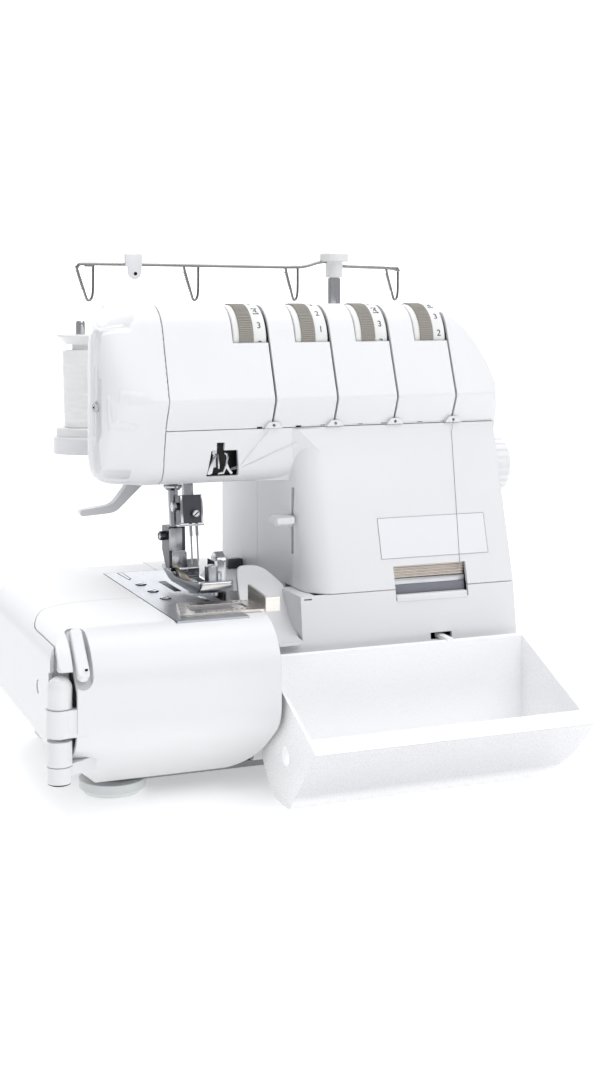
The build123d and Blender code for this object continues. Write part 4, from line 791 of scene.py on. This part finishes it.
def wound(name, wire_r, coil_r, pitch, turns, steps=32):
    # A wire of this thickness wound as a helix about its own z axis, from z = 0 upwards
    bpy.ops.object.select_all(action="DESELECT")
    bpy.ops.mesh.primitive_circle_add(vertices=6, radius=wire_r / 1000, fill_type="NOTHING",
                                      location=(coil_r / 1000, 0, 0), rotation=(math.pi / 2, 0, 0))
    piece = bpy.context.object
    piece.name = name
    bpy.ops.object.transform_apply(location=True, rotation=True)
    coil = piece.modifiers.new("winding", "SCREW")
    coil.screw_offset = pitch / 1000
    coil.iterations = turns
    coil.steps = steps
    coil.render_steps = steps
    bpy.ops.object.modifier_apply(modifier=coil.name)
    bpy.ops.object.mode_set(mode="EDIT")
    bpy.ops.mesh.select_all(action="SELECT")
    bpy.ops.mesh.fill_holes(sides=8)
    close_up()
    return piece


first_pin = 77.0
pin_pitch = 81.0
pin_x = [first_pin + pin_pitch * index for index in range(4)]
pin_y = 256.0
spool_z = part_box("thread_spools")[0][2] * 1000
spool_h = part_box("thread_spools")[1][2] * 1000 - spool_z
cap_h = 7.0
cap_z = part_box("spool_caps")[1][2] * 1000 - cap_h
pin_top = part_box("spool_pins")[1][2] * 1000
thread_t = 0.32
wind_pitch = 0.5
wind_end = 0.6
wind_turns = int((spool_h - 2 * wind_end) / wind_pitch)
wave = 0.004
ripple = 0.003
spool_top_r = 12.95
spool_foot_r = 11.35
core_profile = [(0, 3.6), (0, 9.5), (0.5, spool_foot_r - 0.5), (spool_h - 0.5, spool_top_r - 0.5),
                (spool_h, 9.8), (spool_h, 3.6), (0, 3.6)]
cap_profile = [(0, 3.3), (0, 10.4), (0.5, 10.9), (5.2, 15.9), (5.4, 16.6), (6.0, 17.0), (6.7, 16.8),
               (7.0, 16.2), (7.0, 14.6), (6.3, 13.8), (6.3, 6.2), (7.0, 5.6), (7.0, 3.3), (0, 3.3)]
sleeve_profile = [(0, 3.25), (0, 3.45), (8.2, 3.45), (9.6, 3.0), (9.9, 2.2), (9.9, 0.0)]
neck_h = 4.0
neck_profile = [(0, 3.25), (0, 6.0), (neck_h, 6.0), (neck_h, 3.25), (0, 3.25)]
tip_h = 9.95
for index, x in enumerate(pin_x, start=1):
    core = turned(f"spool_core_{index}", core_profile)
    seat(core, thread_wound, "body", (x, pin_y, spool_z), upright)
    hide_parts("thread_spools")
    winding = wound(f"spool_winding_{index}", thread_t, spool_foot_r - thread_t, wind_pitch, wind_turns)
    for vertex in winding.data.vertices:
        rise = vertex.co.z * 1000 / spool_h
        uneven = wave * math.sin(37 * rise) + ripple * math.sin(91 * rise + 2.1)
        taper = (spool_foot_r + (spool_top_r - spool_foot_r) * rise) / spool_foot_r
        grow = taper * (1 + uneven) - wave - ripple
        vertex.co.x *= grow
        vertex.co.y *= grow
    seat(winding, thread_wound, "body", (x, pin_y, spool_z + wind_end), smooth=60)
    cap = turned(f"spool_cap_{index}", cap_profile)
    seat(cap, stand_white, "body", (x, pin_y, cap_z), upright)
    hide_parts("spool_caps")
    neck = turned(f"spool_neck_{index}", neck_profile)
    seat(neck, stand_white, "body", (x, pin_y, cap_z - neck_h), upright)
    tip = turned(f"pin_tip_{index}", sleeve_profile, steps=32)
    seat(tip, chrome, "body", (x, pin_y, pin_top - tip_h), upright)

# Wire guide: two steel wires clamped in the pole's head, with a hanging eye over each spool.
# Bent from spring wire; the inner leg of each eye is wrapped with fine wire.
# A small white clip rides on the left-hand wire.
wire_steel = metal("wire_steel", (0.27, 0.265, 0.255), 0.2, stretch=(0.1, 1, 1))
wire_r = 1.2
eye_wire_r = wire_r * 0.82
bar_z = 317.6
eye_low = 292.0
eyes = {1: (80.0, 6.2), 2: (159.4, 5.6), 3: (238.3, 5.0), 4: (321.2, 5.0)}
last_eye_drop = 0.8
wrap_low = 17.0
wrap_lean = -17


def over_spools(points):
    return [(across, pin_y, height) for across, height in points]


left_bar = [(74.6, bar_z - 2), (75.4, bar_z + 0.4), (78, bar_z + 0.8), (158, bar_z), (236, bar_z - 1),
            (250, bar_z - 0.6), (261, bar_z + 3.4), (268, bar_z + 3.4)]
right_bar = [(278, bar_z), (300, bar_z - 0.6), (324, bar_z - 1.2), (327.4, bar_z - 3.4)]
wires = [
    strand("bar_left", over_spools(left_bar), wire_r, "NURBS"),
    strand("bar_right", over_spools(right_bar), wire_r, "NURBS"),
]
for index, (x, half) in eyes.items():
    top = bar_z - 0.4 - last_eye_drop * (index == 4)
    left = x - half
    right = x + half
    eye = [(left, top), (left, top), (left + 0.8, top - 4), (x + 0.1 * half, eye_low + 3.5),
           (x + 0.3 * half, eye_low), (x + 0.75 * half, eye_low + 0.6), (right, eye_low + 5),
           (right, top - 3), (right, top), (right, top), (x, top)]
    wires.append(strand(f"eye_{index}", over_spools(eye), eye_wire_r, "NURBS"))
    wrap = wound(f"wrap_{index}", 0.32, 1.15, 1.4, 10, steps=16)
    wrap.location = at(left + 0.2 + 0.78 * half, pin_y, top - wrap_low)
    wrap.rotation_euler = (0, math.radians(wrap_lean), 0)
    bpy.ops.object.transform_apply(location=True, rotation=True)
    wires.append(wrap)
guide_wire = join("guide_wire", wires)
bpy.ops.object.shade_smooth()
hand_over(guide_wire, wire_steel, "mast")
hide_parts("guide_bar")
clip_t = 3.4
clip_outline = [(109.6, 317.0), (109.2, 325.6), (122.2, 325.8), (121.8, 312.4), (120.6, 309.2),
                (118.4, 307.4), (115.6, 307.2), (113.2, 308.8), (111.8, 311.4), (111.6, 316.4)]
clip = cut_plate("bar_clip", clip_outline, clip_t, edge=0.5)
seat(clip, white_knob, "mast", (0, pin_y + clip_t / 2, 0), facing_front)
# The clip's hole is a thin dark disc: painted shade in the hole.
clip_hole = turned("bar_clip_hole", [(0, 0), (0, 1.3), (0.12, 1.3), (0.12, 0)], steps=24)
seat(clip_hole, shade_and_ink, "mast", (117.0, pin_y - 1.68, 311.4), (0, 0, -90))

# Small marks: seam catches under the dials, the door's notch, the face screw's cross, the hinge's foot.
# Moulded details of the covers; their dark is painted shade where they open into the inside.
# A white liner closes the bed behind the hinge.
catch_outline = slot_outline(3.4, 0.7)
catch_t = 0.9
notch_t = 0.4
liner_t = 1.0
cross_t = 0.12
for index, x in enumerate((149.4, 175.6, 192.1, 218.4, 234.8, 260.7, 277.6), start=1):
    catch = cut_plate(f"seam_catch_{index}", catch_outline, catch_t)
    seat(catch, shade_and_ink, "body", (x, 83.5, 213.3), facing_front)
notch = cut_plate("door_notch", rectangle(17.0, 90.5, 18.6, 91.7), notch_t)
seat(notch, shade_and_ink, "door", (0, 0.35, 0), facing_front)
liner = cut_plate("hinge_liner", rectangle(0.5, 31, 12.2, 98), liner_t)
seat(liner, white_shell, "body", (0, 18.2, 0), facing_front)
arm = 1.9
half_w = 0.5
cross_outline = [(-half_w, -arm), (half_w, -arm), (half_w, -half_w), (arm, -half_w),
                 (arm, half_w), (half_w, half_w), (half_w, arm), (-half_w, arm),
                 (-half_w, half_w), (-arm, half_w), (-arm, -half_w), (-half_w, -half_w)]
cross = cut_plate("face_screw_cross", cross_outline, cross_t)
seat(cross, shade_and_ink, "body", (45.8, 91.6, 228.0), (90, 0, -66))
foot_profile = [(0, 0), (0, 5.6), (0.4, 6.4), (1.1, 6.8), (1.1, 0)]
foot_ring = turned("hinge_foot", foot_profile, steps=48)
seat(foot_ring, shade_and_ink, "door", (4.6, 7.8, 27.9), upright)

# Studio: pale floor and backdrop, broad soft lights and the camera at the photograph's angle.
# The papers glow a little, so that the ground stays white around the machine.


def stage_plane(name, size, place, turn, glow):
    paper = new_finish(f"{name}_paper", (0.86, 0.86, 0.86), 0.9)[0]
    adjust(paper, {"Emission Color": (1, 1, 1, 1), "Emission Strength": glow})
    bpy.ops.object.select_all(action="DESELECT")
    bpy.ops.mesh.primitive_plane_add(size=size, location=place, rotation=turn)
    sheet = bpy.context.object
    sheet.name = name
    sheet.data.materials.append(paper)


paper_size = 14
floor_glow = 0.36
backdrop_glow = 1.0
stage_plane("studio_floor", paper_size, (0, 0, -0.0005), (0, 0, 0), floor_glow)
stage_plane("studio_backdrop", paper_size, (2.4, 5.5, 4), (math.pi / 2, 0, -0.38), backdrop_glow)

world = bpy.data.worlds.new("studio_world")
world.use_nodes = True
world.node_tree.nodes["Background"].inputs["Color"].default_value = (0.93, 0.95, 1, 1)
world.node_tree.nodes["Background"].inputs["Strength"].default_value = 0.45
bpy.context.scene.world = world
bpy.context.scene.view_settings.view_transform = "Standard"


def soft_light(name, place, aim, size, power):
    bpy.ops.object.light_add(type="AREA", location=place)
    lamp = bpy.context.object
    lamp.name = name
    lamp.data.shape = "RECTANGLE"
    lamp.data.size, lamp.data.size_y = size
    lamp.data.energy = power
    reach = [b - a for a, b in zip(place, aim)]
    level = math.hypot(reach[0], reach[1])
    lamp.rotation_euler = (math.atan2(level, -reach[2]), 0, math.atan2(reach[1], reach[0]) - math.pi / 2)


soft_light("key_light", (0.5, -1.5, 1.5), (0, 0, 0.15), (1.6, 1.2), 12.5)
soft_light("top_light", (0.0, 0.1, 2.0), (0, 0, 0.1), (1.8, 1.8), 26)

camera_place = (-0.3668, -0.9685, 0.300)
camera_turn = (math.radians(90), 0, math.radians(-21.6))
bpy.ops.object.camera_add(location=camera_place, rotation=camera_turn)
camera = bpy.context.object
camera.data.sensor_fit = "VERTICAL"
camera.data.sensor_height = 36.0
camera.data.lens = 53.55
camera.data.shift_y = -0.2287
camera.data.clip_end = 30
bpy.context.scene.camera = camera
